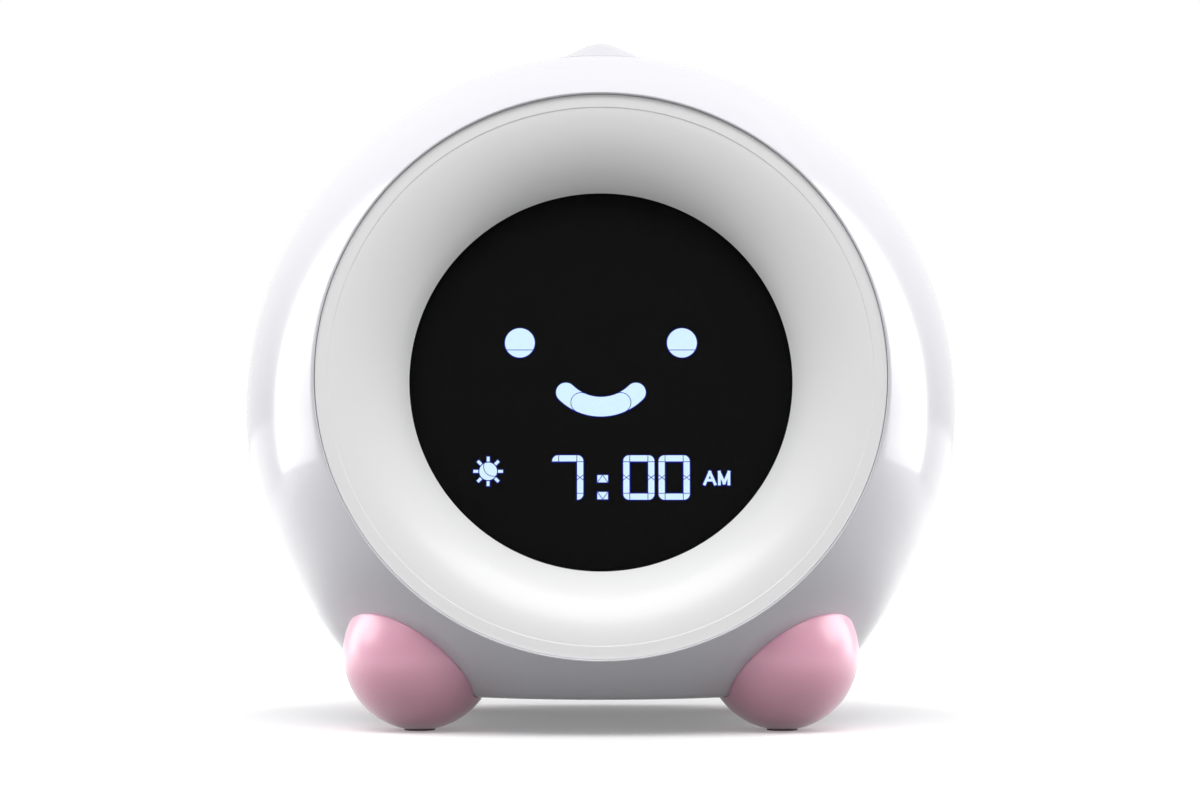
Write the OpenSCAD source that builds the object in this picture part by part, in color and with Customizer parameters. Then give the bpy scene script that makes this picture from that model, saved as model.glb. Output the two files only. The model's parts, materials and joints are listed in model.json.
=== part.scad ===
// Ball-shaped kids alarm clock with a night light ring, standing on four ball feet.
// Millimetres. +Z is up and the face looks along -Y. The origin is on the floor,
// under the middle of the clock's width and depth.

/* [Ball casing] */
// Radius of the ball that the casing follows
ball_r = 82; // [78:1:98]
// Wall of the casing halves
wall = 2.5; // [2:0.1:2.8]
// Distance from the ball's centre back to the flat back
back_depth = 44; // [43:1:52]
// Radius of the round edge of the back
back_round = 16; // [12:1:18]
// Distance from the ball's centre down to the flat base
base_drop = 64; // [62:1:70]
// Height of the flat base above the floor
base_clear = 7.5; // [6:0.5:9.5]
// Distance from the ball's centre back to the joint of the two casing halves
split_back = 13; // [12:0.5:15]
// Gap all round between pieces that are put together loosely
fit_gap = 0.3; // [0.2:0.05:0.4]

/* [Face and light ring] */
// Angle by which the face looks up
face_tilt = 8; // [4:1:9]
// Outer radius of the light ring
ring_r = 62.2; // [60:0.2:63]
// Width of the flat rim of the light ring
rim_w = 2.7; // [2:0.1:4]
// Depth of the light ring's rim behind the front edge of the casing's opening
rim_recess = 1.384; // [0.6:0.002:2.1]
// Half of the angle that the curve of the light ring turns through
horn_half_turn = 25; // [20:1:27]
// Wall of the light ring
ring_wall = 2; // [1.6:0.1:2.2]
// Visible radius of the display window
window_r = 42.3; // [38:0.1:42.5]
// Depth of the window's front behind the rim of the light ring
window_depth = 10.1; // [9.7:0.1:10.7]
// Thickness of the window, and of its flange too
window_t = 1.6; // [1.4:0.1:1.8]

/* [Display figures] */
// Radius of each round eye
eye_r = 3.3; // [2.5:0.1:4]
// Half of the distance between the eyes
eye_x = 18; // [14:0.5:22]
// Height of the eyes above the window's centre
eye_y = 9.1; // [6:0.1:13]
// Radius of the curve that the mouth follows
mouth_r = 11; // [9:0.5:13]
// Half of the mouth's thickness
mouth_half = 2.18; // [1.5:0.02:2.5]
// Height of the mouth's lowest point on its middle line
mouth_y = -5.25; // [-7:0.05:-4]
// Width of a digit
digit_w = 6.85; // [6:0.05:7.2]
// Height of a digit
digit_h = 9.87; // [9:0.01:11]
// Thickness of a digit's bars
digit_bar = 1.42; // [1.2:0.02:1.6]
// Height of the digits' lower edge
digit_y = -26; // [-27:0.1:-24]
// Left edge of the hour digit
hour_x = -10.75; // [-12:0.05:-10]
// Left edge of the first minute digit
minute_x = 4.95; // [4.8:0.05:5.4]
// Distance from one minute digit to the next
digit_pitch = 7.8; // [7.6:0.05:8]
// Width of the dark lines between lit parts
line_w = 0.16; // [0.1:0.01:0.2]
// Width of the blue border round each lit part
border_w = 0.22; // [0.15:0.01:0.25]

/* [Top button] */
// Radius of the top button where it meets the casing
knob_r = 10.4; // [9:0.1:11]
// Height of the top button's tip above the ball's centre, less the ball's radius
knob_rise = 3.2; // [2.6:0.1:4]
// Radius of the rounded tip
knob_tip_r = 9.4; // [8:0.1:10]
// Slope of the top button's flank
knob_slope = 24.8; // [22:0.1:26]
// Travel of the top button
knob_travel = 1.5; // [1:0.1:1.5]
// Radius of the top button's stem
stem_r = 3; // [2.5:0.1:3.5]
// Radial clearance of the stem in its guide
stem_gap = 0.08; // [0.05:0.01:0.1]

/* [Feet] */
// Radius of a front foot
front_foot_r = 17; // [15:0.5:18]
// Depth of a front foot's centre inside the casing's ball
front_foot_sink = 5.07; // [3.4:0.01:7.4]
// Angle of a front foot's centre forward from the side
front_foot_turn = 42.24; // [39:0.01:45]
// Radius of a rear foot
rear_foot_r = 11; // [10:0.5:11.5]
// Depth of a rear foot's centre inside the casing's ball
rear_foot_sink = 6.21; // [5.4:0.01:6.8]
// Angle of a rear foot's centre backward from the side
rear_foot_turn = 28.81; // [27.1:0.01:30.2]
// Radius of the rubber pad under each foot
pad_r = 3.4; // [3:0.1:4]
// Thickness of the rubber pad
pad_t = 1.5; // [1.2:0.1:2]

/* [Rear keys] */
// Radius of a rear key
key_r = 4.5; // [4:0.1:5]
// Height of a rear key above the back
key_proud = 1.2; // [0.9:0.1:1.5]
// Travel of a rear key
key_travel = 0.8; // [0.5:0.1:0.8]
// Distance between neighbouring keys
key_pitch = 16; // [14:0.5:16.5]
// Height of the upper row of keys from the ball's centre
key_row = -11; // [-12:0.5:-10]
// Travel of the slide switch
slide_travel = 4; // [3:0.5:4]

/* [Speaker] */
// Outer radius of the speaker's frame
speaker_r = 20; // [18:0.5:21]
// Height of the speaker's centre above the ball's centre
speaker_z = 25; // [24:0.5:28]
// Radius of a grille hole
grille_hole_r = 1.1; // [0.8:0.05:1.3]
// Distance between rings of grille holes
grille_pitch = 4.2; // [3.8:0.1:4.2]

/* [Battery bay] */
// Radius of a battery cell
cell_r = 7.1; // [7:0.05:7.25]
// Length of a battery cell with its nub
cell_len = 50.5; // [50:0.1:50.5]
// Distance between neighbouring cells
cell_pitch = 14.8; // [14.6:0.1:15]
// Thickness of the battery door
door_t = 2; // [1.6:0.1:2.2]
// Walls of the battery bay
bay_wall = 1.6; // [1.4:0.1:2]
// Radius of the removable base plate
base_plate_r = 39; // [38.5:0.1:39.5]

/* [Hidden] */
$fn = 96;
SMALL_FN = 32;

BIG = 4 * ball_r;

// Opening in the front of the casing
open_r = ring_r + fit_gap;
lip_front = sqrt(ball_r * ball_r - open_r * open_r);
inner_r = ball_r - wall;
seat_r = open_r + 1.5;
lip_back = sqrt(inner_r * inner_r - seat_r * seat_r);
collar_r = seat_r + 1.8;
collar_len = 6.162;
collar_back = lip_back - collar_len;

// Light ring: its curve is one arc from the rim's inner edge to the window's edge
rim_front = lip_front - rim_recess;
window_front = rim_front - window_depth;
horn_dr = ring_r - rim_w - window_r;
horn_ds = rim_front - window_front;
horn_chord = sqrt(horn_dr * horn_dr + horn_ds * horn_ds);
horn_lean = atan2(horn_ds, horn_dr);
horn_r = horn_chord / (2 * sin(horn_half_turn));
horn_c = [window_r + horn_dr / 2 + horn_r * cos(horn_half_turn) * sin(horn_lean),
    window_front + horn_ds / 2 - horn_r * cos(horn_half_turn) * cos(horn_lean)];

// Place of the ball's centre: the clock's box is centred on the origin
front_reach = lip_front * cos(face_tilt) + open_r * sin(face_tilt);
back_reach = back_depth + key_proud;
body_y = (front_reach - back_reach) / 2;
body_z = base_drop + base_clear;

// Round edge of the back
round_t = back_depth - back_round;
round_r = sqrt(pow(ball_r - back_round, 2) - round_t * round_t);
back_in = back_depth - wall;
floor_in = -base_drop + wall;

// Stack behind the face, measured forward from the ball's centre
window_back = window_front - window_t;
window_flange_r = window_r + 2;
flange_back = window_back - window_t;
mask_t = 0.4;
mask_front = flange_back - 0.05;
mask_back = mask_front - mask_t;
film_t = 0.25;
film_back = mask_back - film_t;
segment_front = mask_front - 0.06;
segment_t = 2.4;
segment_back = segment_front - segment_t;
guide_front = film_back;
board_t = 1.6;
stack_depth = 13;
stack_back = window_front - stack_depth;
guide_back = stack_back + board_t + 1;
led_h = 1.9;
reflector_r = seat_r - fit_gap;
reflector_in_r = 46.2;
reflector_wall = 1.3;
ring_flange_t = 1.6;
ring_flange_front = lip_back - fit_gap;
reflector_front = ring_flange_front - ring_flange_t - 0.2;
chassis_t = 2;
boss_ring_r = 68.5;
boss_r = 3;
boss_angles = [30, 150, 210, 330];
collar_front = sqrt(ball_r * ball_r - collar_r * collar_r) - 0.8;
post_front = sqrt(ball_r * ball_r - pow(boss_ring_r + boss_r, 2)) - 0.3;
ring_led_count = 20;
ring_led_ring_r = (reflector_r + reflector_in_r) / 2;

// Lit figures
mouth_c = mouth_y + mouth_r;
mouth_end = 44.9;
mouth_mid = 23.6;
eye_line_y = -1.6;
sun_at = [-24.9, -19.7];
sun_r = 1.95;
ray_in = 2.5;
ray_out = 2.95;
ray_half = 0.32;
colon_x = -0.78;
colon_w = 2.33;
colon_h = 1.6;
colon_ys = [digit_y + 0.1, digit_y + 3.85];
am_at = [22.9, -22.5];
am_h = 2.6;
am_half = 0.3;

// Screws: thread, head radius and head height
screw_r = 1.3;
screw_hole_r = screw_r + 0.1;
head_r = 2.4;
head_h = 1.6;

// Casing screws, outside the back's flat
case_screw_ring = 64;
case_boss_r = 4.5;
case_head_back = 22;
case_boss_front = -17;
case_thread_front = case_boss_front + 2;
case_screw_len = case_head_back - case_thread_front - 1.5;
case_boss_over = max(0, case_screw_ring + case_boss_r - round_r);
case_boss_end = round_t + sqrt(back_round * back_round - case_boss_over * case_boss_over) - 0.05;
case_angles = [45, 135, 225, 315];
case_rib_t = 1.6;
case_rib_len = split_back - 0.5 - case_boss_front;
case_rib_end = (inner_r + sqrt(ball_r * ball_r - case_boss_front * case_boss_front)) / 2;

// Base plate
base_plate_y = -4;
base_open_r = base_plate_r + fit_gap;
base_flange_r = base_plate_r + 3;
base_flange_t = 1.7;
base_flange_z = floor_in + 0.1;
base_ear_ring = base_plate_r + 3.9;
base_ear_r = 3;
base_angles_front = [0, 180, 270];
base_angles_rear = [60, 120];
base_angles = concat(base_angles_front, base_angles_rear);
base_head_seat = -base_drop + head_h - 0.4;
base_screw_len = 3.6;

// Battery bay and door
bay_len = cell_len + 2.6;
bay_w = 2 * cell_pitch + 2 * cell_r + 0.8;
door_top = -base_drop + door_t;
cell_z = door_top + 0.5 + cell_r;
bay_roof = cell_z + cell_r + 0.5;
door_half_x = bay_len / 2 + 2;
door_front_y = base_plate_y - bay_w / 2 - 2.2;
hinge_r = 1.5;
hinge_pin_r = 0.8;
hinge_pin_len = 1.4;
hinge_gap = 0.06;
hinge_y = base_plate_y + bay_w / 2 + 1.2;
hinge_z = -base_drop + hinge_r + 0.1;
hinge_hole_x = door_half_x + hinge_pin_len + 0.2;
door_back_y = hinge_y - 0.5;
door_open_back = hinge_y + hinge_r + 0.5;
door_gap = 0.35;
door_over_gap = 0.3;
door_corner = 3;
grip_len = 20;
grip_w = 1;
grip_pitch = 2.4;
grip_depth = 0.4;
door_tab_half = 7;
door_tab_len = 5.9;
door_screw_y = door_front_y - 2.9;
door_head_seat = -base_drop + 1.2;
door_boss_r = 2.5;
door_boss_top = base_flange_z + base_flange_t + 2.2;
door_screw_len = door_boss_top - door_head_seat - 0.9;
contact_t = 0.4;
contact_side = 9;
spring_room = (bay_len - cell_len) / 2 - contact_t - 0.05;
cell_spring_wire_r = 0.2;
cell_spring_r = 3.6;
cell_spring_tip_r = 2.2;
nub_r = 2.7;
nub_h = 1.5;

// Feet
function foot_centre(r, sink, turn) = let (up = r - body_z, out = sqrt(pow(ball_r - sink, 2) - up * up))
    [out * cos(turn), out * sin(turn), up];
front_foot_c = foot_centre(front_foot_r, front_foot_sink, -front_foot_turn);
rear_foot_c = foot_centre(rear_foot_r, rear_foot_sink, rear_foot_turn);
foot_seat_gap = 0.05;
peg_r = 4;
peg_end = inner_r - 0.2;
washer_r = 6;
washer_t = 1.8;
rear_peg_r = 2.4;
rear_washer_r = 3.8;
floor_z = -body_z;
foot_cut = 0.35;

// Top button
knob_top = ball_r + knob_rise;
tip_c = knob_top - knob_tip_r;
tip_edge_r = knob_tip_r * sin(knob_slope);
tip_edge_z = tip_c + knob_tip_r * cos(knob_slope);
knob_edge_z = tip_edge_z - (knob_r - tip_edge_r) * tan(knob_slope);
knob_flange_r = knob_r + 1.8;
knob_flange_top = sqrt(inner_r * inner_r - knob_flange_r * knob_flange_r) - 0.5;
knob_flange_t = 1.6;
knob_under = knob_flange_top - knob_flange_t;
guide_drop = 6.9;
guide_top = knob_under - guide_drop;
guide_t = 2;
guide_half_x = 21;
guide_half_y = 8;
guide_screw_x = 17;
guide_post_top = sqrt(ball_r * ball_r - pow(guide_screw_x + boss_r, 2)) - 0.8;
stem_end = guide_top - guide_t;
leg_len = 5.5;
leg_x = 7;
top_plunger_h = 0.5;
top_board_z = stem_end - leg_len;
spring_wire = 0.5;
spring_r = stem_r + 1.5;
spring_turns = 6;

// Rear keys and board
board_back_y = back_in - 9;
board_half_x = 37;
board_low = -50;
board_high = -2;
board_boss_r = 3;
board_boss_at = [[-33, board_high - 4], [33, board_high - 4], [-33, board_low + 4], [33, board_low + 4]];
switch_h = 3.5;
plunger_h = 0.3;
key_flange_r = key_r + 1.1;
key_flange_t = 1.2;
key_stem_r = 1.75;
key_stem_end = board_back_y + switch_h + plunger_h + key_travel + 0.2;
key_cols = [-1.5, -0.5, 0.5, 1.5];
key_rows = [key_row, key_row - key_pitch];
usb_at = [0, -43.5];
usb_size = [8.94, 3.16];
usb_len = 7.3;
slide_at = [20, -43.5];
slide_knob_size = [3, 3];
slide_slot = [slide_knob_size[0] + slide_travel + 0.8, slide_knob_size[1] + 0.6];

// Speaker
speaker_face = back_in - 0.8;
speaker_flange_t = 2;
speaker_depth = 10;
speaker_magnet_r = 11;
speaker_magnet_t = 7;
clamp_r = speaker_r + 2.5;
clamp_t = 1.8;
clamp_ear_ring = speaker_r + 5.4;
clamp_angles = [90, 210, 330];
wire_r = 0.6;
wire_x = 9.5;
wire_pitch = 2;
wire_shift = 6.5;
wire_bow = 5;

// A ball centre frame, and the frame of the leaning face with its axis along +Z
module at_ball() translate([0, body_y, body_z]) children();
module at_face() at_ball() rotate([90 - face_tilt, 0, 0]) children();
// +Z of the children points backwards, and their +Y points down
module facing_back() rotate([-90, 0, 0]) children();

module at_angles(list, ring) for (a = list) rotate([0, 0, a]) translate([ring, 0, 0]) children();

// Tube between two heights
module tube(r_out, r_in, z0, z1) {
    translate([0, 0, z0])
        difference() {
            cylinder(r = r_out, h = z1 - z0);
            translate([0, 0, -1]) cylinder(r = r_in, h = z1 - z0 + 2);
        }
}

module disc(r, z0, z1) translate([0, 0, z0]) cylinder(r = r, h = z1 - z0);

module round_rect(w, h, r) {
    union() {
        square([w - 2 * r, h], center = true);
        square([w, h - 2 * r], center = true);
        for (sx = [-1, 1], sy = [-1, 1])
            translate([sx * (w / 2 - r), sy * (h / 2 - r)]) circle(r = r, $fn = SMALL_FN);
    }
}

// Pan head screw along +Z: the head's underside is at 0 and the shank goes up
module screw(len, r = screw_r, hr = head_r, hh = head_h) {
    union() {
        translate([0, 0, -hh]) cylinder(r = hr, h = hh, $fn = SMALL_FN);
        cylinder(r = r, h = len, $fn = SMALL_FN);
    }
}

// Outline of the ball casing, turned about the front to back axis: x is the
// distance from that axis, y the distance back from the ball's centre
module body_profile(grow) {
    edge = [round_r, round_t];
    half_round = back_round / 2;
    union() {
        intersection() {
            circle(r = ball_r + grow);
            polygon([[0, 0], edge * 3, [BIG, -BIG], [0, -BIG]]);
        }
        intersection() {
            translate(edge) circle(r = back_round + grow);
            polygon([edge, edge * 3, [round_r, BIG]]);
        }
        // Core that overlaps both round stretches
        polygon([[0, -half_round], edge + [half_round, -half_round], edge + [half_round, half_round / 2],
            [round_r, back_depth + grow], [0, back_depth + grow]]);
    }
}

// The casing's solid form, grown or shrunk, and cut flat at the given height
module body_form(grow, low) {
    intersection() {
        facing_back() rotate_extrude() body_profile(grow);
        translate([-BIG, -BIG, low]) cube([2 * BIG, 2 * BIG, 2 * BIG]);
    }
}

// Everything in front of, or behind, the joint plane
module half_space(front) {
    translate([-BIG, front ? -2 * BIG + split_back : split_back, -BIG])
        cube([2 * BIG, 2 * BIG, 2 * BIG]);
}

module case_boss_axes() for (a = case_angles)
    translate([case_screw_ring * cos(a), 0, case_screw_ring * sin(a)]) facing_back() children();

// Front foot frame: +Z runs from the foot's centre to the ball's centre
module at_front_foot(side) {
    c = [side * front_foot_c[0], front_foot_c[1], front_foot_c[2]];
    turn = atan2(-c[1], -c[0]);
    lean = acos(-c[2] / norm(c));
    translate(c) rotate([0, lean, turn]) children();
}

module front_shell() {
    foot_dist = norm(front_foot_c);
    color("white") at_ball() difference() {
        union() {
            intersection() {
                difference() {
                    body_form(0, -base_drop);
                    body_form(-wall, floor_in);
                }
                half_space(true);
            }
            // Collar that the light ring sits in, and posts for the display
            rotate([90 - face_tilt, 0, 0]) tube(collar_r, seat_r, collar_back, collar_front);
            rotate([90 - face_tilt, 0, 0]) at_angles(boss_angles, boss_ring_r)
                disc(boss_r, stack_back, post_front);
            // Casing screw posts with ribs, and posts for the top button's guide
            case_boss_axes() disc(case_boss_r, case_boss_front, split_back);
            for (a = case_angles) rotate([0, -a, 0])
                translate([case_screw_ring, case_boss_front, -case_rib_t / 2])
                    cube([case_rib_end - case_screw_ring, case_rib_len, case_rib_t]);
            for (s = [-1, 1]) translate([s * guide_screw_x, 0, 0])
                disc(boss_r, guide_top + 0.05, guide_post_top);
        }
        // Opening for the light ring
        rotate([90 - face_tilt, 0, 0]) disc(open_r, collar_back - 15, BIG);
        rotate([90 - face_tilt, 0, 0]) at_angles(boss_angles, boss_ring_r)
            disc(screw_hole_r, stack_back - 1, stack_back + 9);
        case_boss_axes() disc(screw_hole_r, case_thread_front, split_back + 1);
        for (s = [-1, 1]) translate([s * guide_screw_x, 0, 0])
            disc(screw_hole_r, guide_top - 1, guide_top + 6);
        disc(knob_r + fit_gap, knob_under, BIG);
        translate([0, base_plate_y, 0]) disc(base_open_r, -BIG, floor_in + 1);
        translate([0, base_plate_y, 0]) at_angles(base_angles_front, base_ear_ring)
            base_screw_hole();
        for (s = [-1, 1]) at_front_foot(s)
            disc(peg_r + 0.15, foot_dist - ball_r - 5, foot_dist - inner_r + 5);
    }
}

// Stepped hole for a base screw: its head is sunk in the floor
module base_screw_hole() {
    disc(screw_hole_r, -base_drop - 1, floor_in + 1);
    disc(head_r + 0.2, -base_drop - 1, base_head_seat);
}

module key_at(col, row) translate([key_cols[col] * key_pitch, 0, key_rows[row]]) facing_back() children();

module at_speaker() translate([0, 0, speaker_z]) facing_back() children();

module rear_shell() {
    color("white") at_ball() difference() {
        union() {
            intersection() {
                difference() {
                    body_form(0, -base_drop);
                    body_form(-wall, floor_in);
                }
                half_space(false);
            }
            case_boss_axes() disc(case_boss_r, split_back, case_boss_end);
            for (p = board_boss_at) translate([p[0], 0, p[1]]) facing_back()
                disc(board_boss_r, board_back_y + 0.05, back_depth - 1);
            at_speaker() at_angles(clamp_angles, clamp_ear_ring)
                disc(board_boss_r, speaker_face - speaker_flange_t - 0.1, back_depth - 1);
            at_speaker() tube(speaker_r + 1.8, speaker_r + 0.3, speaker_face - 1.2, back_depth - 1);
            // Tongue that reaches into the front half
            difference() {
                facing_back() tube(inner_r - 1.3, inner_r - 2.8, split_back - 3, split_back + 4);
                translate([-BIG, -BIG, -BIG]) cube([2 * BIG, 2 * BIG, BIG + floor_in + 0.5]);
                translate([-knob_flange_r - 1.5, -BIG, 0]) cube([2 * knob_flange_r + 3, 2 * BIG, BIG]);
                for (a = case_angles) rotate([0, -a, 0])
                    translate([0, -BIG + split_back, -case_rib_t / 2 - fit_gap])
                        cube([BIG, BIG, case_rib_t + 2 * fit_gap]);
            }
        }
        case_boss_axes() disc(screw_hole_r, split_back - 1, back_depth);
        case_boss_axes() disc(head_r + 0.4, case_head_back, back_depth + 1);
        for (p = board_boss_at) translate([p[0], 0, p[1]]) facing_back()
            disc(screw_hole_r, board_back_y - 1, board_back_y + 7);
        at_speaker() at_angles(clamp_angles, clamp_ear_ring)
            disc(screw_hole_r, speaker_face - 5, speaker_face + 1.5);
        at_speaker() grille();
        for (row = [0, 1], col = [0:3]) key_at(col, row)
            disc(key_r + fit_gap, back_in - 1, back_depth + 1);
        translate([usb_at[0], back_depth + 1, usb_at[1]]) rotate([90, 0, 0])
            linear_extrude(wall + 2) round_rect(usb_size[0] + 0.4, usb_size[1] + 0.4, 1.6);
        translate([slide_at[0] + slide_travel / 2, back_depth + 1, slide_at[1]]) rotate([90, 0, 0])
            linear_extrude(wall + 2) square(slide_slot, center = true);
        translate([0, base_plate_y, 0]) disc(base_open_r, -BIG, floor_in + 1);
        translate([0, base_plate_y, 0]) at_angles(base_angles_rear, base_ear_ring) base_screw_hole();
        for (s = [-1, 1]) translate([s * rear_foot_c[0], rear_foot_c[1], 0])
            disc(rear_peg_r + 0.15, -base_drop - 1, floor_in + 1);
    }
}

// Rings of small holes over the speaker
module grille() {
    holes_per_ring = 6;
    disc(grille_hole_r, back_in - 1, back_depth + 1);
    for (ring = [1:3], k = [0:holes_per_ring * ring - 1])
        rotate([0, 0, 360 * k / (holes_per_ring * ring)]) translate([ring * grille_pitch, 0, 0])
            translate([0, 0, back_in - 1]) cylinder(r = grille_hole_r, h = wall + 2, $fn = SMALL_FN);
}

// Outline of the battery door, seen from above, with its screw tab in front
module door_outline(gap, back_y) {
    x = door_half_x + gap;
    y = door_front_y - gap;
    tab = door_tab_half + gap;
    polygon([[-x, back_y], [-x, y + door_corner], [-x + door_corner, y], [-tab, y],
        [-tab, y - door_tab_len], [tab, y - door_tab_len], [tab, y],
        [x - door_corner, y], [x, y + door_corner], [x, back_y]]);
}

module base_plate() {
    color("white") at_ball() difference() {
        union() {
            translate([0, base_plate_y, 0]) disc(base_plate_r, -base_drop, base_flange_z + 0.5);
            translate([0, base_plate_y, 0])
                disc(base_flange_r, base_flange_z, base_flange_z + base_flange_t);
            translate([0, base_plate_y, 0]) at_angles(base_angles, base_ear_ring)
                disc(base_ear_r, base_flange_z, base_flange_z + base_flange_t);
            // Bay that holds the cells
            translate([-bay_len / 2 - bay_wall, base_plate_y - bay_w / 2 - bay_wall, -base_drop + 0.5])
                cube([bay_len + 2 * bay_wall, bay_w + 2 * bay_wall,
                    bay_roof + bay_wall + base_drop - 0.5]);
            // Boss for the door's screw
            translate([0, door_screw_y, 0]) disc(door_boss_r, base_flange_z, door_boss_top);
        }
        translate([-bay_len / 2, base_plate_y - bay_w / 2, -base_drop - 1])
            cube([bay_len, bay_w, bay_roof + base_drop + 1]);
        // Door recess: the plate round the bay stays as a ledge
        translate([0, 0, -base_drop - 1]) linear_extrude(door_t + door_over_gap + 1)
            door_outline(door_gap, door_open_back);
        translate([-door_half_x - door_gap, base_plate_y + bay_w / 2 - 1, -base_drop - 1])
            cube([2 * (door_half_x + door_gap), door_open_back - base_plate_y - bay_w / 2 + 1,
                hinge_z + base_drop + hinge_r + 1.4]);
        translate([-hinge_hole_x, hinge_y, hinge_z]) rotate([0, 90, 0])
            cylinder(r = hinge_pin_r + hinge_gap, h = 2 * hinge_hole_x, $fn = SMALL_FN);
        translate([0, door_screw_y, 0]) disc(screw_hole_r, -base_drop, door_boss_top - 0.4);
        translate([0, base_plate_y, 0]) at_angles(base_angles, base_ear_ring)
            disc(screw_hole_r, base_flange_z - 1, base_flange_z + base_flange_t + 1);
    }
}

module battery_door() {
    color("white") at_ball() difference() {
        union() {
            translate([0, 0, -base_drop]) linear_extrude(door_t) door_outline(0, door_back_y);
            translate([-door_half_x, door_back_y - 1, -base_drop]) cube([2 * door_half_x, 1.5, door_t]);
            translate([-door_half_x, hinge_y, hinge_z]) rotate([0, 90, 0])
                cylinder(r = hinge_r, h = 2 * door_half_x);
            translate([-door_half_x - hinge_pin_len, hinge_y, hinge_z]) rotate([0, 90, 0])
                cylinder(r = hinge_pin_r, h = 2 * (door_half_x + hinge_pin_len), $fn = SMALL_FN);
        }
        translate([0, door_screw_y, 0]) disc(screw_hole_r + 0.1, -base_drop - 1, -base_drop + 5);
        translate([0, door_screw_y, 0]) disc(head_r + 0.3, -base_drop - 1, door_head_seat);
        // Grip ribs
        for (k = [-2:2])
            translate([-grip_len / 2, base_plate_y + grip_pitch * k - grip_w / 2, -base_drop - 1])
                cube([grip_len, grip_w, 1 + grip_depth]);
    }
}

module door_screw() {
    color("silver") at_ball() translate([0, door_screw_y, door_head_seat - 0.02])
        screw(door_screw_len, hh = 1.1);
}

module case_screws() {
    color("silver") at_ball() case_boss_axes()
        translate([0, 0, case_head_back + 0.02]) rotate([180, 0, 0]) screw(case_screw_len, hh = 2);
}

module base_screws() {
    color("silver") at_ball() translate([0, base_plate_y, 0]) at_angles(base_angles, base_ear_ring)
        translate([0, 0, base_head_seat - 0.02]) screw(base_screw_len, hh = head_h - 0.5);
}

// Cross section of the light ring: x is the radius, y the distance forward
module ring_profile() {
    union() {
        intersection() {
            difference() {
                translate(horn_c) circle(r = horn_r);
                translate(horn_c) circle(r = horn_r - ring_wall);
            }
            translate([window_r, window_back + 0.05]) square([ring_r - rim_w + 0.2 - window_r, BIG]);
        }
        translate([ring_r - rim_w, ring_flange_front - ring_flange_t])
            square([rim_w, rim_front - ring_flange_front + ring_flange_t]);
        translate([ring_r - rim_w, ring_flange_front - ring_flange_t])
            square([rim_w + 1.2, ring_flange_t]);
    }
}

module light_ring() {
    color("whitesmoke") at_face() rotate_extrude() ring_profile();
}

module display_window() {
    color([0.05, 0.05, 0.05, 0.5]) at_face() union() {
        disc(window_r - 0.15, window_back - 0.5, window_front);
        disc(window_flange_r, flange_back, window_back);
    }
}

module eyes_2d(grow) for (s = [-1, 1]) translate([s * eye_x, eye_y]) circle(r = eye_r + grow);

// Outline of a bar that follows the mouth's curve, with round ends
function bar_outline(half, t, steps = 28, cap_steps = 12) =
    let (right = [sin(half), -cos(half)], right_end = [cos(half), sin(half)],
        left = [-sin(half), -cos(half)], left_end = [-cos(half), sin(half)])
    concat(
        [for (i = [0:steps]) let (a = half * (2 * i / steps - 1)) (mouth_r + t) * [sin(a), -cos(a)]],
        [for (i = [1:cap_steps - 1]) let (b = 180 * i / cap_steps)
            mouth_r * right + t * (cos(b) * right + sin(b) * right_end)],
        [for (i = [0:steps]) let (a = half * (1 - 2 * i / steps)) (mouth_r - t) * [sin(a), -cos(a)]],
        [for (i = [1:cap_steps - 1]) let (b = 180 * i / cap_steps)
            mouth_r * left + t * (-cos(b) * left + sin(b) * left_end)]);

module bent_bar(half, grow) polygon(bar_outline(half, mouth_half + grow));

module mouth_2d(grow) translate([0, mouth_c]) bent_bar(mouth_end, grow);

module digit_ring(grow) {
    translate([digit_w / 2, digit_h / 2]) difference() {
        round_rect(digit_w + 2 * grow, digit_h + 2 * grow, digit_bar * 0.9 + grow);
        square([digit_w - 2 * digit_bar - 2 * grow, digit_h - 2 * digit_bar - 2 * grow], center = true);
    }
}

module seven_2d(grow) {
    intersection() {
        digit_ring(grow);
        union() {
            translate([-grow, digit_h - digit_bar - grow])
                square([digit_w + 2 * grow, digit_bar + 2 * grow]);
            translate([digit_w - digit_bar - grow, -grow])
                square([digit_bar + 2 * grow, digit_h + 2 * grow]);
        }
    }
}

// Thin lines that part a digit's bars
module digit_lines() {
    for (x = [digit_bar, digit_w - digit_bar])
        translate([x - line_w / 2, -1]) square([line_w, digit_h + 2]);
    for (y = [digit_bar, digit_h - digit_bar])
        translate([-1, y - line_w / 2]) square([digit_w + 2, line_w]);
    for (x = [digit_bar / 2, digit_w - digit_bar / 2], a = [-38, 38])
        translate([x, digit_h / 2]) rotate(a) square([2.6 * digit_bar, line_w], center = true);
}

module digits_2d(grow) {
    translate([hour_x, digit_y]) seven_2d(grow);
    for (k = [0, 1]) translate([minute_x + k * digit_pitch, digit_y]) digit_ring(grow);
}

module colon_2d(grow) for (y = colon_ys)
    translate([colon_x - grow, y - grow]) square([colon_w + 2 * grow, colon_h + 2 * grow]);

// Straight stroke between two points, which reaches past them by half its width
module stroke(a, b, half) {
    d = b - a;
    translate((a + b) / 2) rotate(atan2(d[1], d[0]))
        square([norm(d) + 2 * half, 2 * half], center = true);
}

module am_2d(grow) {
    half = am_half + grow;
    translate(am_at) {
        stroke([0, 0], [1.15, am_h], half);
        stroke([1.15, am_h], [2.3, 0], half);
        stroke([0.45, 0.85], [1.85, 0.85], half);
        stroke([3.25, 0], [3.25, am_h], half);
        stroke([3.25, am_h], [4.3, 0.2], half);
        stroke([4.3, 0.2], [5.35, am_h], half);
        stroke([5.35, am_h], [5.35, 0], half);
    }
}

module rays_2d(grow) translate(sun_at) for (k = [0:7])
    rotate(45 * k) stroke([ray_in, 0], [ray_out, 0], ray_half + grow);

module sun_disc_2d(grow) translate(sun_at) circle(r = sun_r + grow, $fn = SMALL_FN);

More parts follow.
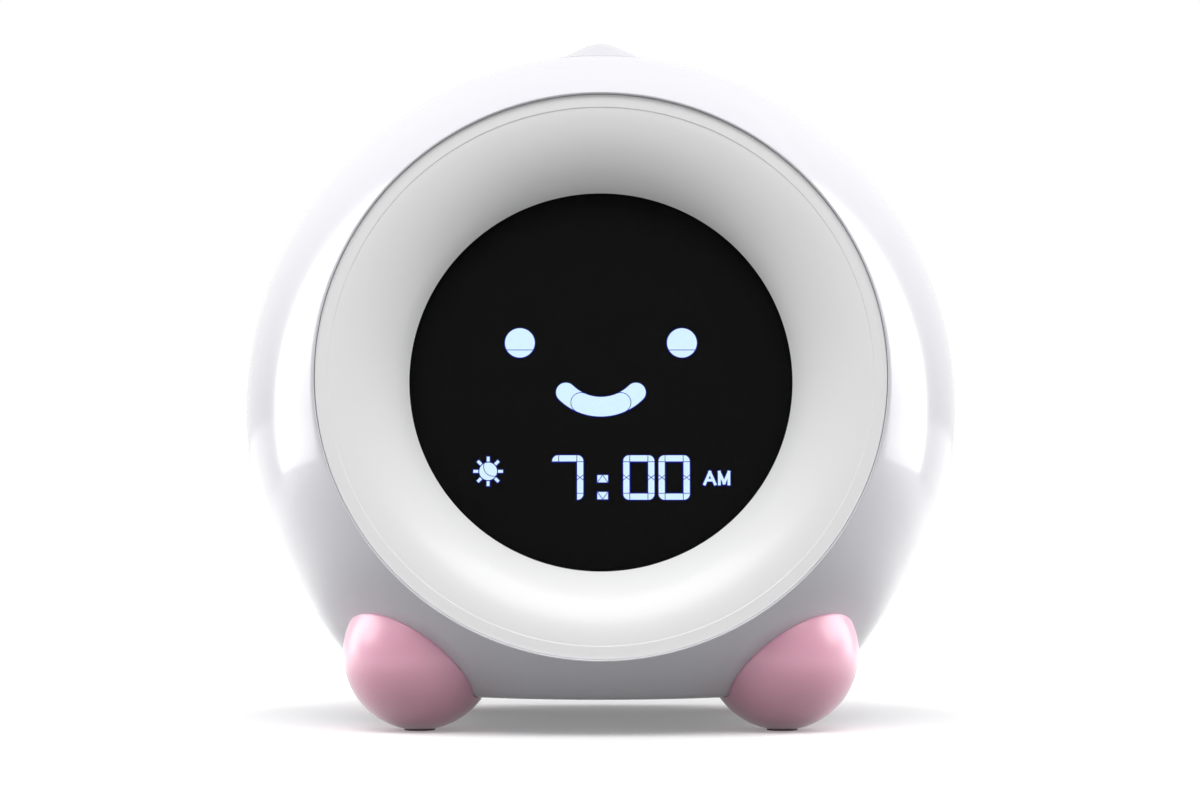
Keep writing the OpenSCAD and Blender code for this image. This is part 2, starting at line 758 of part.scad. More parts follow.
// All lit figures with their borders, as the mask leaves them open
module figures_2d(grow) {
    eyes_2d(grow);
    mouth_2d(grow);
    digits_2d(grow);
    colon_2d(grow);
    am_2d(grow);
    sun_disc_2d(grow);
    rays_2d(grow);
}

module segment_solid() translate([0, 0, segment_back]) linear_extrude(segment_t) children();

module face_segments() {
    color("lightcyan") at_face() {
        segment_solid() difference() {
            eyes_2d(0);
            for (s = [-1, 1]) translate([s * eye_x, eye_y + eye_line_y])
                square([2 * eye_r + 1, line_w], center = true);
        }
        segment_solid() translate([0, mouth_c]) bent_bar(mouth_mid, 0);
        segment_solid() translate([0, mouth_c]) difference() {
            bent_bar(mouth_end, 0);
            bent_bar(mouth_mid, line_w);
        }
    }
}

module time_segments() {
    color("lightcyan") at_face() {
        segment_solid() difference() {
            translate([hour_x, digit_y]) seven_2d(0);
            translate([hour_x, digit_y]) digit_lines();
        }
        for (k = [0, 1]) segment_solid() translate([minute_x + k * digit_pitch, digit_y]) difference() {
            digit_ring(0);
            digit_lines();
        }
        segment_solid() difference() {
            colon_2d(0);
            for (y = colon_ys, s = [-1, 1]) {
                up = y > digit_y + 1 ? 1 : -1;
                translate([colon_x + colon_w / 2 + s * colon_w / 4, y + colon_h / 2])
                    rotate(-s * up * atan2(colon_h, colon_w / 2))
                        square([2 * colon_w, line_w], center = true);
            }
        }
        segment_solid() am_2d(0);
    }
}

module day_night_segments() {
    color("lightcyan") at_face() {
        segment_solid() rays_2d(0);
        segment_solid() difference() {
            sun_disc_2d(0);
            // Line of a crescent
            translate(sun_at + [1.15, 1.05]) difference() {
                circle(r = 2.15 + line_w / 2, $fn = SMALL_FN);
                circle(r = 2.15 - line_w / 2, $fn = SMALL_FN);
            }
        }
    }
}

module display_mask() {
    color("black") at_face() translate([0, 0, mask_back]) linear_extrude(mask_t) difference() {
        circle(r = window_flange_r);
        figures_2d(border_w);
    }
}

module blue_film() {
    color("mediumblue") at_face() translate([0, 0, film_back]) linear_extrude(film_t) difference() {
        circle(r = window_flange_r);
        figures_2d(0.03);
    }
}

// White block with a light well behind each group of figures
module light_guide() {
    color("white") at_face() difference() {
        disc(window_flange_r, guide_back, guide_front - 0.02);
        translate([0, 0, guide_back - 1]) linear_extrude(guide_front - guide_back + 2) {
            eyes_2d(0.3);
            mouth_2d(0.3);
            for (x = [hour_x, minute_x, minute_x + digit_pitch])
                translate([x - 0.2, digit_y - 0.2]) square([digit_w + 0.4, digit_h + 0.4]);
            translate([colon_x - 0.3, digit_y - 0.2]) square([colon_w + 0.6, digit_h - 3.5]);
            translate(am_at - [0.7, 0.7]) square([7, am_h + 1.4]);
            translate(sun_at) circle(r = ray_out + 0.8);
        }
    }
}

module display_board() {
    color("darkgreen") at_face() disc(window_flange_r - 0.3, stack_back, stack_back + board_t);
}

module display_leds() {
    at = concat([for (s = [-1, 1]) [s * eye_x, eye_y]],
        [for (a = [-32, 0, 32]) [mouth_r * sin(a), mouth_c - mouth_r * cos(a)]],
        [for (x = [hour_x, minute_x, minute_x + digit_pitch], k = [0:2])
            [x + digit_w / 2, digit_y + digit_h * (0.2 + 0.3 * k)]],
        [[colon_x + colon_w / 2, digit_y + 3], am_at + [2.6, 1.3], sun_at]);
    color("khaki") at_face() for (p = at)
        translate([p[0] - 0.8, p[1] - 0.5, stack_back + board_t]) cube([1.6, 1, 0.7]);
}

module ring_board() {
    color("darkgreen") at_face()
        tube(reflector_r - reflector_wall - 0.3, reflector_in_r + 0.2, stack_back, stack_back + board_t);
}

module ring_leds() {
    color("khaki") at_face()
        at_angles([for (k = [0:ring_led_count - 1]) 360 * k / ring_led_count], ring_led_ring_r)
        translate([-1.75, -1.4, stack_back + board_t]) cube([3.5, 2.8, led_h]);
}

// White trough behind the light ring, with a hole for each lamp
module ring_reflector() {
    web = stack_back + board_t + led_h + 0.3;
    color("white") at_face() difference() {
        union() {
            tube(reflector_r, reflector_r - reflector_wall, stack_back, reflector_front);
            tube(reflector_in_r, reflector_in_r - reflector_wall, stack_back, window_back - 0.5);
            tube(reflector_r - 0.1, reflector_in_r - 0.1, web, web + 1.2);
        }
        at_angles([for (k = [0:ring_led_count - 1]) 360 * k / ring_led_count], ring_led_ring_r)
            translate([0, 0, web - 1]) cylinder(r = 2.6, h = 4, $fn = SMALL_FN);
    }
}

module display_chassis() {
    front = stack_back - 0.1;
    color("dimgray") at_face() difference() {
        union() {
            disc(reflector_r, front - chassis_t, front);
            at_angles(boss_angles, boss_ring_r) disc(boss_r + 1, front - chassis_t, front);
            at_angles(boss_angles, boss_ring_r - 4)
                translate([-3, -boss_r - 1, front - chassis_t]) cube([7, 2 * boss_r + 2, chassis_t]);
        }
        disc(9, front - chassis_t - 1, front + 1);
        at_angles([45, 135, 225, 315], 30) disc(5, front - chassis_t - 1, front + 1);
        at_angles(boss_angles, boss_ring_r) disc(screw_hole_r + 0.1, front - chassis_t - 1, front + 1);
    }
}

module display_screws() {
    color("silver") at_face() at_angles(boss_angles, boss_ring_r)
        translate([0, 0, stack_back - 0.15 - chassis_t]) screw(9);
}

// Rounded tip, bell shaped flank, skirt, flange and stem of the top button
module knob_profile() {
    tip_reach = 2 * knob_tip_r;
    union() {
        intersection() {
            translate([0, tip_c]) circle(r = knob_tip_r);
            polygon([[0, tip_c], [0, tip_c + tip_reach],
                [tip_reach * sin(knob_slope), tip_c + tip_reach * cos(knob_slope)]]);
        }
        polygon([[0, stem_end], [stem_r, stem_end], [stem_r, knob_under], [knob_flange_r, knob_under],
            [knob_flange_r, knob_flange_top], [knob_r, knob_flange_top], [knob_r, knob_edge_z],
            [tip_edge_r, tip_edge_z], [0, tip_edge_z]]);
    }
}

module top_button() {
    color("white") at_ball() rotate_extrude() knob_profile();
}

// Wire of round section wound on a cone or a cylinder, as one swept tube
module coil(r0, r1, h, turns, wire_r, steps = 14, sides = 6) {
    n = floor(turns * steps);
    function at(t) = let (a = 360 * turns * t, r = r0 + (r1 - r0) * t) [r * cos(a), r * sin(a), h * t];
    function ring_at(t) = let (a = 360 * turns * t, c = at(t))
        [for (k = [0:sides - 1]) let (b = 360 * k / sides)
            c + wire_r * [cos(b) * cos(a), cos(b) * sin(a), sin(b)]];
    points = [for (i = [0:n]) each ring_at(i / n)];
    polyhedron(points = points, faces = concat(
        [[for (k = [0:sides - 1]) k]],
        [for (i = [0:n - 1], k = [0:sides - 1]) let (a = i * sides + k, b = i * sides + (k + 1) % sides)
            [a, a + sides, b + sides, b]],
        [[for (k = [sides - 1:-1:0]) n * sides + k]]));
}

module button_spring() {
    gap = spring_wire / 2 + 0.1;
    color("silver") at_ball() translate([0, 0, guide_top + gap])
        coil(spring_r, spring_r, knob_under - guide_top - 2 * gap, spring_turns, spring_wire / 2);
}

// Bridge under the top button: it guides the stem and carries the switch board
module button_guide() {
    color("gainsboro") at_ball() difference() {
        union() {
            translate([-guide_half_x, -guide_half_y, guide_top - guide_t])
                cube([2 * guide_half_x, 2 * guide_half_y, guide_t]);
            for (s = [-1, 1]) translate([s * leg_x, 0, 0]) disc(2, top_board_z, stem_end + 0.5);
        }
        disc(stem_r + stem_gap, stem_end - 1, guide_top + 1);
        for (s = [-1, 1]) translate([s * leg_x, 0, 0]) disc(0.9, top_board_z - 1, stem_end);
        for (s = [-1, 1]) translate([s * guide_screw_x, 0, 0])
            disc(screw_hole_r + 0.1, stem_end - 1, guide_top + 1);
    }
}

module guide_screws() {
    color("silver") at_ball() {
        for (s = [-1, 1]) translate([s * guide_screw_x, 0, stem_end - 0.05]) screw(7);
        for (s = [-1, 1]) translate([s * leg_x, 0, top_board_z - 1.3])
            screw(5, r = 0.8, hr = 1.6, hh = 1);
    }
}

module top_switch_board() {
    color("darkgreen") at_ball() difference() {
        translate([-10, -8, top_board_z - 1.2]) cube([20, 16, 1.15]);
        for (s = [-1, 1]) translate([s * leg_x, 0, 0]) disc(0.9, top_board_z - 2, top_board_z + 1);
    }
}

// Push switch: square body and round plunger, standing on z = 0
module push_switch(height, reach) {
    union() {
        translate([-3, -3, 0]) cube([6, 6, height]);
        cylinder(r = 1.7, h = height + reach, $fn = SMALL_FN);
    }
}

module top_switch() {
    color("dimgray") at_ball() translate([0, 0, top_board_z])
        push_switch(leg_len - top_plunger_h - knob_travel - 0.2, top_plunger_h);
}

// Ball foot, shaped to the casing, with a peg into the casing
module foot_ball(c, r) {
    difference() {
        translate(c) sphere(r = r);
        intersection() {
            sphere(r = ball_r + foot_seat_gap);
            translate([-BIG, -BIG, -base_drop - foot_seat_gap]) cube(2 * BIG);
        }
        translate([-BIG, -BIG, floor_z - BIG + foot_cut]) cube([2 * BIG, 2 * BIG, BIG]);
        translate([c[0], c[1], floor_z]) cylinder(r = pad_r + 0.1, h = pad_t + 0.05);
    }
}

module front_foot(side) {
    dist = norm(front_foot_c);
    color("pink") at_ball() difference() {
        union() {
            foot_ball([side * front_foot_c[0], front_foot_c[1], front_foot_c[2]], front_foot_r);
            at_front_foot(side) disc(peg_r, dist - ball_r - 6, dist - peg_end);
        }
        at_front_foot(side) disc(screw_hole_r, dist - ball_r - 5, dist);
    }
}

module front_foot_left() front_foot(-1);
module front_foot_right() front_foot(1);

module rear_foot(side) {
    c = [side * rear_foot_c[0], rear_foot_c[1], rear_foot_c[2]];
    color("pink") at_ball() difference() {
        union() {
            foot_ball(c, rear_foot_r);
            translate([c[0], c[1], 0]) disc(rear_peg_r, -base_drop - 4, floor_in - 0.2);
        }
        translate([c[0], c[1], 0]) disc(screw_hole_r, -base_drop - 3.5, 0);
    }
}

module rear_foot_left() rear_foot(-1);
module rear_foot_right() rear_foot(1);

module foot_pads() {
    color("dimgray") at_ball() for (s = [-1, 1], c = [front_foot_c, rear_foot_c])
        translate([s * c[0], c[1], floor_z]) cylinder(r = pad_r, h = pad_t);
}

module foot_screws() {
    dist = norm(front_foot_c);
    color("silver") at_ball() {
        for (s = [-1, 1]) at_front_foot(s) translate([0, 0, dist - inner_r + 0.35]) rotate([180, 0, 0])
            screw(6.5, hr = washer_r, hh = washer_t);
        for (s = [-1, 1]) translate([s * rear_foot_c[0], rear_foot_c[1], floor_in + 0.05])
            rotate([180, 0, 0]) screw(5.5, hr = rear_washer_r, hh = washer_t);
    }
}

// Rear key: cap with a domed end, flange and stem
module key(col, row) {
    color("lightpink") at_ball() key_at(col, row) union() {
        intersection() {
            disc(key_r, back_in - 1.2, back_depth + key_proud);
            translate([0, 0, back_depth + key_proud - 14]) sphere(r = 14);
        }
        disc(key_flange_r, back_in - fit_gap - key_flange_t, back_in - fit_gap);
        disc(key_stem_r, key_stem_end, back_in - 1);
    }
}

module hour_key() key(0, 0);
module minute_key() key(1, 0);
module alarm_key() key(2, 0);
module nap_key() key(3, 0);
module light_key() key(0, 1);
module sound_key() key(1, 1);
module volume_down_key() key(2, 1);
module volume_up_key() key(3, 1);

module key_switches() {
    color("dimgray") at_ball() for (row = [0, 1], col = [0:3]) key_at(col, row)
        translate([0, 0, board_back_y]) push_switch(switch_h, plunger_h);
}

module main_board() {
    color("darkgreen") at_ball() difference() {
        translate([-board_half_x, board_back_y - board_t, board_low])
            cube([2 * board_half_x, board_t, board_high - board_low]);
        for (p = board_boss_at) translate([p[0], 0, p[1]]) facing_back()
            disc(screw_hole_r + 0.1, board_back_y - board_t - 1, board_back_y + 1);
    }
}

module main_board_screws() {
    color("silver") at_ball() for (p = board_boss_at) translate([p[0], 0, p[1]]) facing_back()
        translate([0, 0, board_back_y - board_t - 0.05]) screw(7);
}

module processor() {
    color("black") at_ball() {
        translate([-15, board_back_y - board_t - 1.6, -30]) cube([12, 1.55, 12]);
        translate([8, board_back_y - board_t - 1.5, -26]) cube([6, 1.45, 5]);
    }
}

module capacitors() {
    color("navy") at_ball() for (p = [[-24, -16, 3.2], [-24, -26, 3.2], [22, -14, 4], [22, -36, 2.5]])
        translate([p[0], 0, p[1]]) facing_back()
            disc(p[2], board_back_y - board_t - 2.2 * p[2], board_back_y - board_t - 0.05);
}

module usb_socket() {
    color("silver") at_ball() translate([usb_at[0], back_in + 0.4, usb_at[1]]) rotate([90, 0, 0]) {
        difference() {
            linear_extrude(usb_len) round_rect(usb_size[0], usb_size[1], 1.5);
            translate([0, 0, -1]) linear_extrude(usb_len - 0.2)
                round_rect(usb_size[0] - 0.7, usb_size[1] - 0.7, 1.2);
        }
        translate([-3.3, -0.35, 0.8]) cube([6.6, 0.7, usb_len - 1]);
        translate([-4, -usb_size[1] / 2, usb_len - 0.01])
            cube([8, 2.4, back_in + 0.4 - usb_len - board_back_y]);
    }
}

module slide_switch() {
    color("silver") at_ball() translate([slide_at[0] + slide_travel / 2, 0, slide_at[1]]) facing_back()
        translate([-5.5, -2.5, board_back_y]) cube([11, 5, 3.6]);
}

module slide_knob() {
    w = slide_knob_size[0];
    color("lightpink") at_ball() translate([slide_at[0], 0, slide_at[1]]) facing_back() difference() {
        union() {
            translate([-w / 2, -slide_knob_size[1] / 2, board_back_y + 3.9])
                cube([w, slide_knob_size[1], back_depth + 0.9 - board_back_y - 3.9]);
            translate([-w / 2 - 1.6, -slide_knob_size[1] / 2 - 1.2, board_back_y + 3.9])
                cube([w + 3.2, slide_knob_size[1] + 2.4, back_in - 0.3 - board_back_y - 3.9]);
        }
        for (k = [-1:1]) translate([k - 0.25, -5, back_depth + 0.5]) cube([0.5, 10, 2]);
    }
}

module speaker_frame() {
    front = speaker_face;
    basket_h = speaker_depth - speaker_flange_t;
    color("dimgray") at_ball() at_speaker() difference() {
        union() {
            disc(speaker_r, front - speaker_flange_t, front);
            translate([0, 0, front - speaker_depth])
                cylinder(r1 = speaker_magnet_r, r2 = speaker_r - 2, h = basket_h + 0.1);
        }
        translate([0, 0, front - speaker_depth + 1])
            cylinder(r1 = speaker_magnet_r - 1, r2 = speaker_r - 3, h = basket_h - 0.9);
        disc(speaker_r - 3, front - speaker_flange_t - 0.2, front + 1);
    }
}

module speaker_cone() {
    front = speaker_face - 1;
    color("black") at_ball() at_speaker() difference() {
        union() {
            disc(speaker_r - 3.2, front - 0.6, front);
            translate([0, 0, front - 6]) cylinder(r1 = 5, r2 = speaker_r - 5.5, h = 5.6);
        }
        translate([0, 0, front - 5.2]) cylinder(r1 = 4.6, r2 = speaker_r - 5.7, h = 5.3);
    }
}

module speaker_magnet() {
    back = speaker_face - speaker_depth - 0.05;
    color("gray") at_ball() at_speaker() disc(speaker_magnet_r - 0.5, back - speaker_magnet_t, back);
}

module speaker_clamp() {
    front = speaker_face - speaker_flange_t - 0.15;
    color("gainsboro") at_ball() at_speaker() difference() {
        union() {
            disc(clamp_r, front - clamp_t, front);
            at_angles(clamp_angles, clamp_ear_ring) disc(3.2, front - clamp_t, front);
        }
        disc(speaker_r - 1.6, front - clamp_t - 1, front + 1);
        at_angles(clamp_angles, clamp_ear_ring) disc(screw_hole_r + 0.1, front - clamp_t - 1, front + 1);
    }
}

module speaker_screws() {
    color("silver") at_ball() at_speaker() at_angles(clamp_angles, clamp_ear_ring)
        translate([0, 0, speaker_face - speaker_flange_t - clamp_t - 0.2]) screw(4.2);
}

// Tube swept along points, with flat ends
module wire(points, r, sides = 8) {
    n = len(points);
    function dir_at(i) = let (d = points[min(i + 1, n - 1)] - points[max(i - 1, 0)]) d / norm(d);
    function side_at(d) = cross(d, [1, 0, 0]) / norm(cross(d, [1, 0, 0]));
    function ring_at(i) = let (d = dir_at(i), u = side_at(d), v = cross(d, u))
        [for (k = [0:sides - 1]) let (a = 360 * k / sides) points[i] + r * (cos(a) * u + sin(a) * v)];
    polyhedron(points = [for (i = [0:n - 1]) each ring_at(i)], faces = concat(
        [[for (k = [sides - 1:-1:0]) k]],
        [for (i = [0:n - 2], k = [0:sides - 1])
            let (a = i * sides + k, b = i * sides + (k + 1) % sides) [a, b, b + sides, a + sides]],
        [[for (k = [0:sides - 1]) (n - 1) * sides + k]]));
}

module speaker_wires() {
    start_y = board_back_y - board_t - wire_r - 0.1;
    start_z = board_high - 3;
    end_y = speaker_face - speaker_depth + 2.3;
    end_z = speaker_z - speaker_magnet_r - 2.4;
    for (k = [0, 1]) color(k == 0 ? "red" : "black") at_ball()
        wire([for (t = [0:0.1:1]) [
            wire_x + wire_pitch * k - wire_shift * t,
            start_y + (end_y - start_y) * t - wire_bow * sin(180 * t),
            start_z + (end_z - start_z) * t]], wire_r);
}

module battery_cells() {
    color("silver") at_ball() for (k = [-1:1])
        translate([-cell_len / 2, base_plate_y + k * cell_pitch, cell_z])
            rotate([0, 90, 0]) {
                flip = k == 0;
                translate([0, 0, flip ? nub_h : 0]) cylinder(r = cell_r, h = cell_len - nub_h);
                translate([0, 0, flip ? 0 : cell_len - nub_h - 0.1])
                    cylinder(r = nub_r, h = nub_h + 0.1, $fn = SMALL_FN);
            }
}

// Each cell has a flat contact at its nub and a spring at its other end
module battery_contacts() {
    color("gold") at_ball() for (k = [-1:1], s = [-1, 1])
        translate([s * (bay_len / 2 - 0.05 - contact_t / 2) - contact_t / 2,
            base_plate_y + k * cell_pitch - contact_side / 2, cell_z - contact_side / 2])
            cube([contact_t, contact_side, contact_side]);
}

module battery_springs() {
    color("silver") at_ball() for (k = [-1:1]) {
        side = k == 0 ? 1 : -1;
        translate([side * (bay_len / 2 - 0.05 - contact_t - cell_spring_wire_r - 0.04),
            base_plate_y + k * cell_pitch, cell_z])
            rotate([0, -side * 90, 0])
                coil(cell_spring_r, cell_spring_tip_r, spring_room - 2 * cell_spring_wire_r - 0.08,
                    2, cell_spring_wire_r, steps = 16);
    }
}

// Flat ribbon from the display board back to the main board
module display_ribbon() {
    z = 0.5;
    t = 0.4;
    drop = 8;
    w = 12;
    y0 = -stack_back * cos(face_tilt) - 0.4;
    y1 = board_back_y - board_t - 0.05;
    color("white") at_ball() translate([-w / 2, 0, 0]) rotate([90, 0, 90]) linear_extrude(w)
        polygon([[y0, z], [y0, z + t], [-2, z + t], [14, z + t - drop], [y1, z + t - drop],
            [y1, z - drop], [14, z - drop], [-2, z]]);
}

front_shell();
rear_shell();
base_plate();
battery_door();
door_screw();
case_screws();
base_screws();
light_ring();
display_window();
display_mask();
blue_film();
light_guide();
face_segments();
time_segments();
day_night_segments();
display_board();
display_leds();
ring_board();
ring_leds();
ring_reflector();
display_chassis();
display_screws();
top_button();
button_spring();
button_guide();
guide_screws();
top_switch_board();
top_switch();
front_foot_left();
front_foot_right();
rear_foot_left();
rear_foot_right();
foot_pads();
foot_screws();
hour_key();
minute_key();
alarm_key();
nap_key();
light_key();
sound_key();
volume_down_key();
volume_up_key();
key_switches();
main_board();
main_board_screws();
processor();
capacitors();
usb_socket();
slide_switch();
slide_knob();
speaker_frame();
speaker_cone();
speaker_magnet();
speaker_clamp();
speaker_screws();
speaker_wires();
battery_cells();
battery_springs();
battery_contacts();
display_ribbon();
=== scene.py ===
import json
import math

import bmesh
import bpy
import numpy as np
from mathutils import Euler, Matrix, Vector
from mathutils.geometry import delaunay_2d_cdt

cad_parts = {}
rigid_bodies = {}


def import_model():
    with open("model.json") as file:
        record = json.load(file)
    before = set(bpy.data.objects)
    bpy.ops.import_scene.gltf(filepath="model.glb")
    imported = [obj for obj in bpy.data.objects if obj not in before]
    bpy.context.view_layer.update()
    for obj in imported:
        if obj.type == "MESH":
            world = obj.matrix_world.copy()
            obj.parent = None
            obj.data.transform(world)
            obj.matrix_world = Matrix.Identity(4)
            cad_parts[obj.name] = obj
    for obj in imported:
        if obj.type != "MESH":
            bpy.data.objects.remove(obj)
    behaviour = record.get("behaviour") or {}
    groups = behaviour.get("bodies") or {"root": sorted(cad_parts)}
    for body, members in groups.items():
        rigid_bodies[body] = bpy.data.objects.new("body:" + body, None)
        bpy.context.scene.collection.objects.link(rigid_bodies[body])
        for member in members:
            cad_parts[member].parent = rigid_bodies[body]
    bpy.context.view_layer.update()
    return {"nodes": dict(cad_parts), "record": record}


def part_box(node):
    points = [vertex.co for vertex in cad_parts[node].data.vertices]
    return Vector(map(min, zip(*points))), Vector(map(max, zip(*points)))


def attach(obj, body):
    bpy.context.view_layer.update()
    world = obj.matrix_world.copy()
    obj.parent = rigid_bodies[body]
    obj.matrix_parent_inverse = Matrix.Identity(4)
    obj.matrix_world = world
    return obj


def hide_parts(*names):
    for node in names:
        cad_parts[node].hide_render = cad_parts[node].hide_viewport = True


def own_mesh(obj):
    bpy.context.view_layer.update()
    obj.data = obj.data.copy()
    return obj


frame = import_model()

bl_info = {
    "name": "Night Light Alarm Clock",
    "version": (1, 0, 0),
    "blender": (4, 5, 0),
    "location": "3D View > Sidebar > Alarm Clock",
    "description": "Surfaces, finishes and studio for a ball-shaped alarm clock with a light ring",
    "category": "Object",
}

MM = 0.001
TAU = 2 * math.pi

# Middle of the clock's ball. The flat back, less the proud keys, and the height of the tip give it.
BALL = np.array([0.0, 8.032 * MM, 71.5 * MM])


def length_prop(name, millimetres, description):
    return bpy.props.FloatProperty(name=name, default=millimetres * MM, unit="LENGTH",
                                   description=description)


def angle_prop(name, degrees, description):
    return bpy.props.FloatProperty(name=name, default=math.radians(degrees), subtype="ANGLE",
                                   description=description)


def power_prop(name, watts, description):
    return bpy.props.FloatProperty(name=name, default=watts, unit="POWER", description=description)


def colour_prop(name, colour, description):
    return bpy.props.FloatVectorProperty(name=name, default=colour, size=3, subtype="COLOR", min=0, max=1,
                                         description=description)


class ClockSizes(bpy.types.PropertyGroup):
    """Sizes of the visible pieces, measured from the ball's middle where nothing else is said"""

    ball_radius: length_prop("Ball radius", 81.97, "Radius of the casing's ball")
    wall: length_prop("Wall", 2.5, "Thickness of the casing")
    floor_drop: length_prop("Base drop", 64, "Drop to the flat base")
    floor_soft: length_prop("Base softness", 1.6, "Reach of the rounding at the edge of the base")
    seam_back: length_prop("Seam", 13, "Distance back to the joint of the halves")
    edge_round: length_prop("Edge rounding", 0.25, "Rounding of the casing's cut edges")
    back_depth: length_prop("Back depth", 44, "Distance back to the flat back")
    back_round: length_prop("Back rounding", 16, "Rounding between the ball and the flat back")
    face_tilt: angle_prop("Face tilt", 8, "Angle by which the face looks up")
    mouth_radius: length_prop("Opening radius", 62.5, "Radius of the casing's front opening")
    ring_radius: length_prop("Ring radius", 62.42, "Outer radius of the light ring")
    rim_width: length_prop("Rim width", 2.92, "Width of the ring's flat rim")
    rim_front: length_prop("Rim front", 51.7, "Distance forward to the ring's rim")
    window_radius: length_prop("Window radius", 42.3, "Visible radius of the display window")
    window_front: length_prop("Window front", 41.6, "Distance forward to the window")
    base_hole_radius: length_prop("Base opening", 39.3, "Radius of the opening for the base plate")
    base_hole_back: length_prop("Base opening place", -4, "Place of the base opening along the depth")
    knob_radius: length_prop("Button radius", 10.4, "Radius of the top button at the casing")
    knob_tip: length_prop("Button tip", 85.2, "Height of the top button's tip")
    knob_drop: length_prop("Button bell height", 3.9, "Full height of the button's bell curve")
    knob_bell: length_prop("Button bell radius", 12.2, "Radius at which the bell curve runs level")
    key_radius: length_prop("Key radius", 4.5, "Radius of a rear key")
    key_proud: length_prop("Key height", 1.2, "Height of a rear key above the back")
    part_gap: length_prop("Gap", 0.3, "Gap round pieces that move or slip in")


class ClockColours(bpy.types.PropertyGroup):
    """Colours of the clock, in scene-linear values"""

    casing: colour_prop("Casing", (0.70, 0.695, 0.74), "Casing plastic")
    ring: colour_prop("Light ring", (0.88, 0.88, 0.88), "Diffusing plastic")
    pink: colour_prop("Feet", (0.78, 0.36, 0.49), "Feet and keys")
    window: colour_prop("Window", (0.006, 0.006, 0.006), "Window tint")
    figures: colour_prop("Figures", (0.64, 0.85, 0.96), "Lit figures")
    border: colour_prop("Figure border", (0.012, 0.02, 0.36), "Blue borders")


class StageSettings(bpy.types.PropertyGroup):
    """Camera and light"""

    distance: length_prop("Camera distance", 800, "Distance of the camera from the ball's middle")
    eye_height: length_prop("Camera height", 59.8, "Height of the camera above the floor")
    lens: bpy.props.FloatProperty(name="Lens", default=103.14, unit="CAMERA",
                                  description="Focal length in millimetres on a 36 mm sensor")
    look_up: angle_prop("Camera pitch", 1.0014, "Angle by which the camera looks up")
    side_glow: power_prop("Side softbox", 0.8, "Power of each side softbox")
    foot_glow: power_prop("Foot softbox", 0.18, "Power of each softbox that lights the feet from the side")
    top_glow: power_prop("Top softbox", 5.4, "Power of the high front softbox")


FINISHES = {}

GROUPS = {"clock_sizes": ClockSizes, "clock_colours": ClockColours, "clock_stage": StageSettings}


# ---------------------------------------------------------------- shader nodes


class Value:
    """A number socket. Its operators add the Math nodes of the expression that they stand in."""

    def __init__(self, kit, socket):
        self.kit = kit
        self.socket = socket

    def math(self, operation, *others):
        inputs = {0: self, **dict(enumerate(others, 1))}
        return Value(self.kit, self.kit.node("ShaderNodeMath", {"operation": operation}, inputs).outputs[0])

    def __add__(self, other):
        return self.math("ADD", other)

    __radd__ = __add__

    def __mul__(self, other):
        return self.math("MULTIPLY", other)

    __rmul__ = __mul__

    def __sub__(self, other):
        return self.math("SUBTRACT", other)

    def __rsub__(self, other):
        return (self * -1) + other

    def band(self, low, high):
        """0 below low and 1 above high, on a smooth curve between them"""
        node = self.kit.node("ShaderNodeMapRange", {"interpolation_type": "SMOOTHSTEP"},
                             {"Value": self, "From Min": low, "From Max": high})
        return Value(self.kit, node.outputs["Result"])


class NodeKit:
    """The nodes of a material or a world, which start empty"""

    def __init__(self, owner, coordinates="Object"):
        owner.use_nodes = True
        self.tree = owner.node_tree
        self.tree.nodes.clear()
        self.place = self.node("ShaderNodeTexCoord").outputs[coordinates]

    def node(self, kind, settings=None, inputs=None):
        """One node: its settings first, then the values or links of its sockets"""
        made = self.tree.nodes.new(kind)
        for key, value in (settings or {}).items():
            setattr(made, key, value)
        for key, value in (inputs or {}).items():
            self.feed(made.inputs[key], value)
        return made

    def feed(self, socket, value):
        if isinstance(value, Value):
            self.tree.links.new(value.socket, socket)
        elif isinstance(value, bpy.types.NodeSocket):
            self.tree.links.new(value, socket)
        else:
            socket.default_value = value

    def noise(self, scale, detail=2.0, roughness=0.5, place=None):
        inputs = {"Vector": place or self.place, "Scale": scale, "Detail": detail, "Roughness": roughness}
        return Value(self, self.node("ShaderNodeTexNoise", {}, inputs).outputs["Fac"])

    def axis(self, name):
        return Value(self, self.node("ShaderNodeSeparateXYZ", {}, {0: self.place}).outputs[name])

    def blend(self, factor, first, second):
        """A colour between two others"""
        made = self.node("ShaderNodeMix", {"data_type": "RGBA"}, {})
        self.feed(made.inputs["Factor"], factor)
        self.feed(made.inputs[6], first if not isinstance(first, tuple) else (*first, 1.0))
        self.feed(made.inputs[7], second if not isinstance(second, tuple) else (*second, 1.0))
        return made.outputs[2]


class Finish(NodeKit):
    """A material with one Principled shader"""

    def __init__(self, name, **constants):
        FINISHES[name] = bpy.data.materials.new(name)
        super().__init__(FINISHES[name])
        self.shader = self.node("ShaderNodeBsdfPrincipled", {}, constants)
        self.node("ShaderNodeOutputMaterial", {}, {"Surface": self.shader.outputs[0]})

    def colour(self, socket):
        self.feed(self.shader.inputs["Base Color"], socket)

    def rough(self, value):
        self.feed(self.shader.inputs["Roughness"], value)

    def relief(self, height, distance, strength):
        """Fine surface relief; distance is its depth in metres"""
        bump = self.node("ShaderNodeBump", {}, {"Strength": strength, "Distance": distance, "Height": height})
        self.feed(self.shader.inputs["Normal"], bump.outputs[0])


def shade(colour, factor):
    return tuple(min(1.0, c * factor) for c in colour)


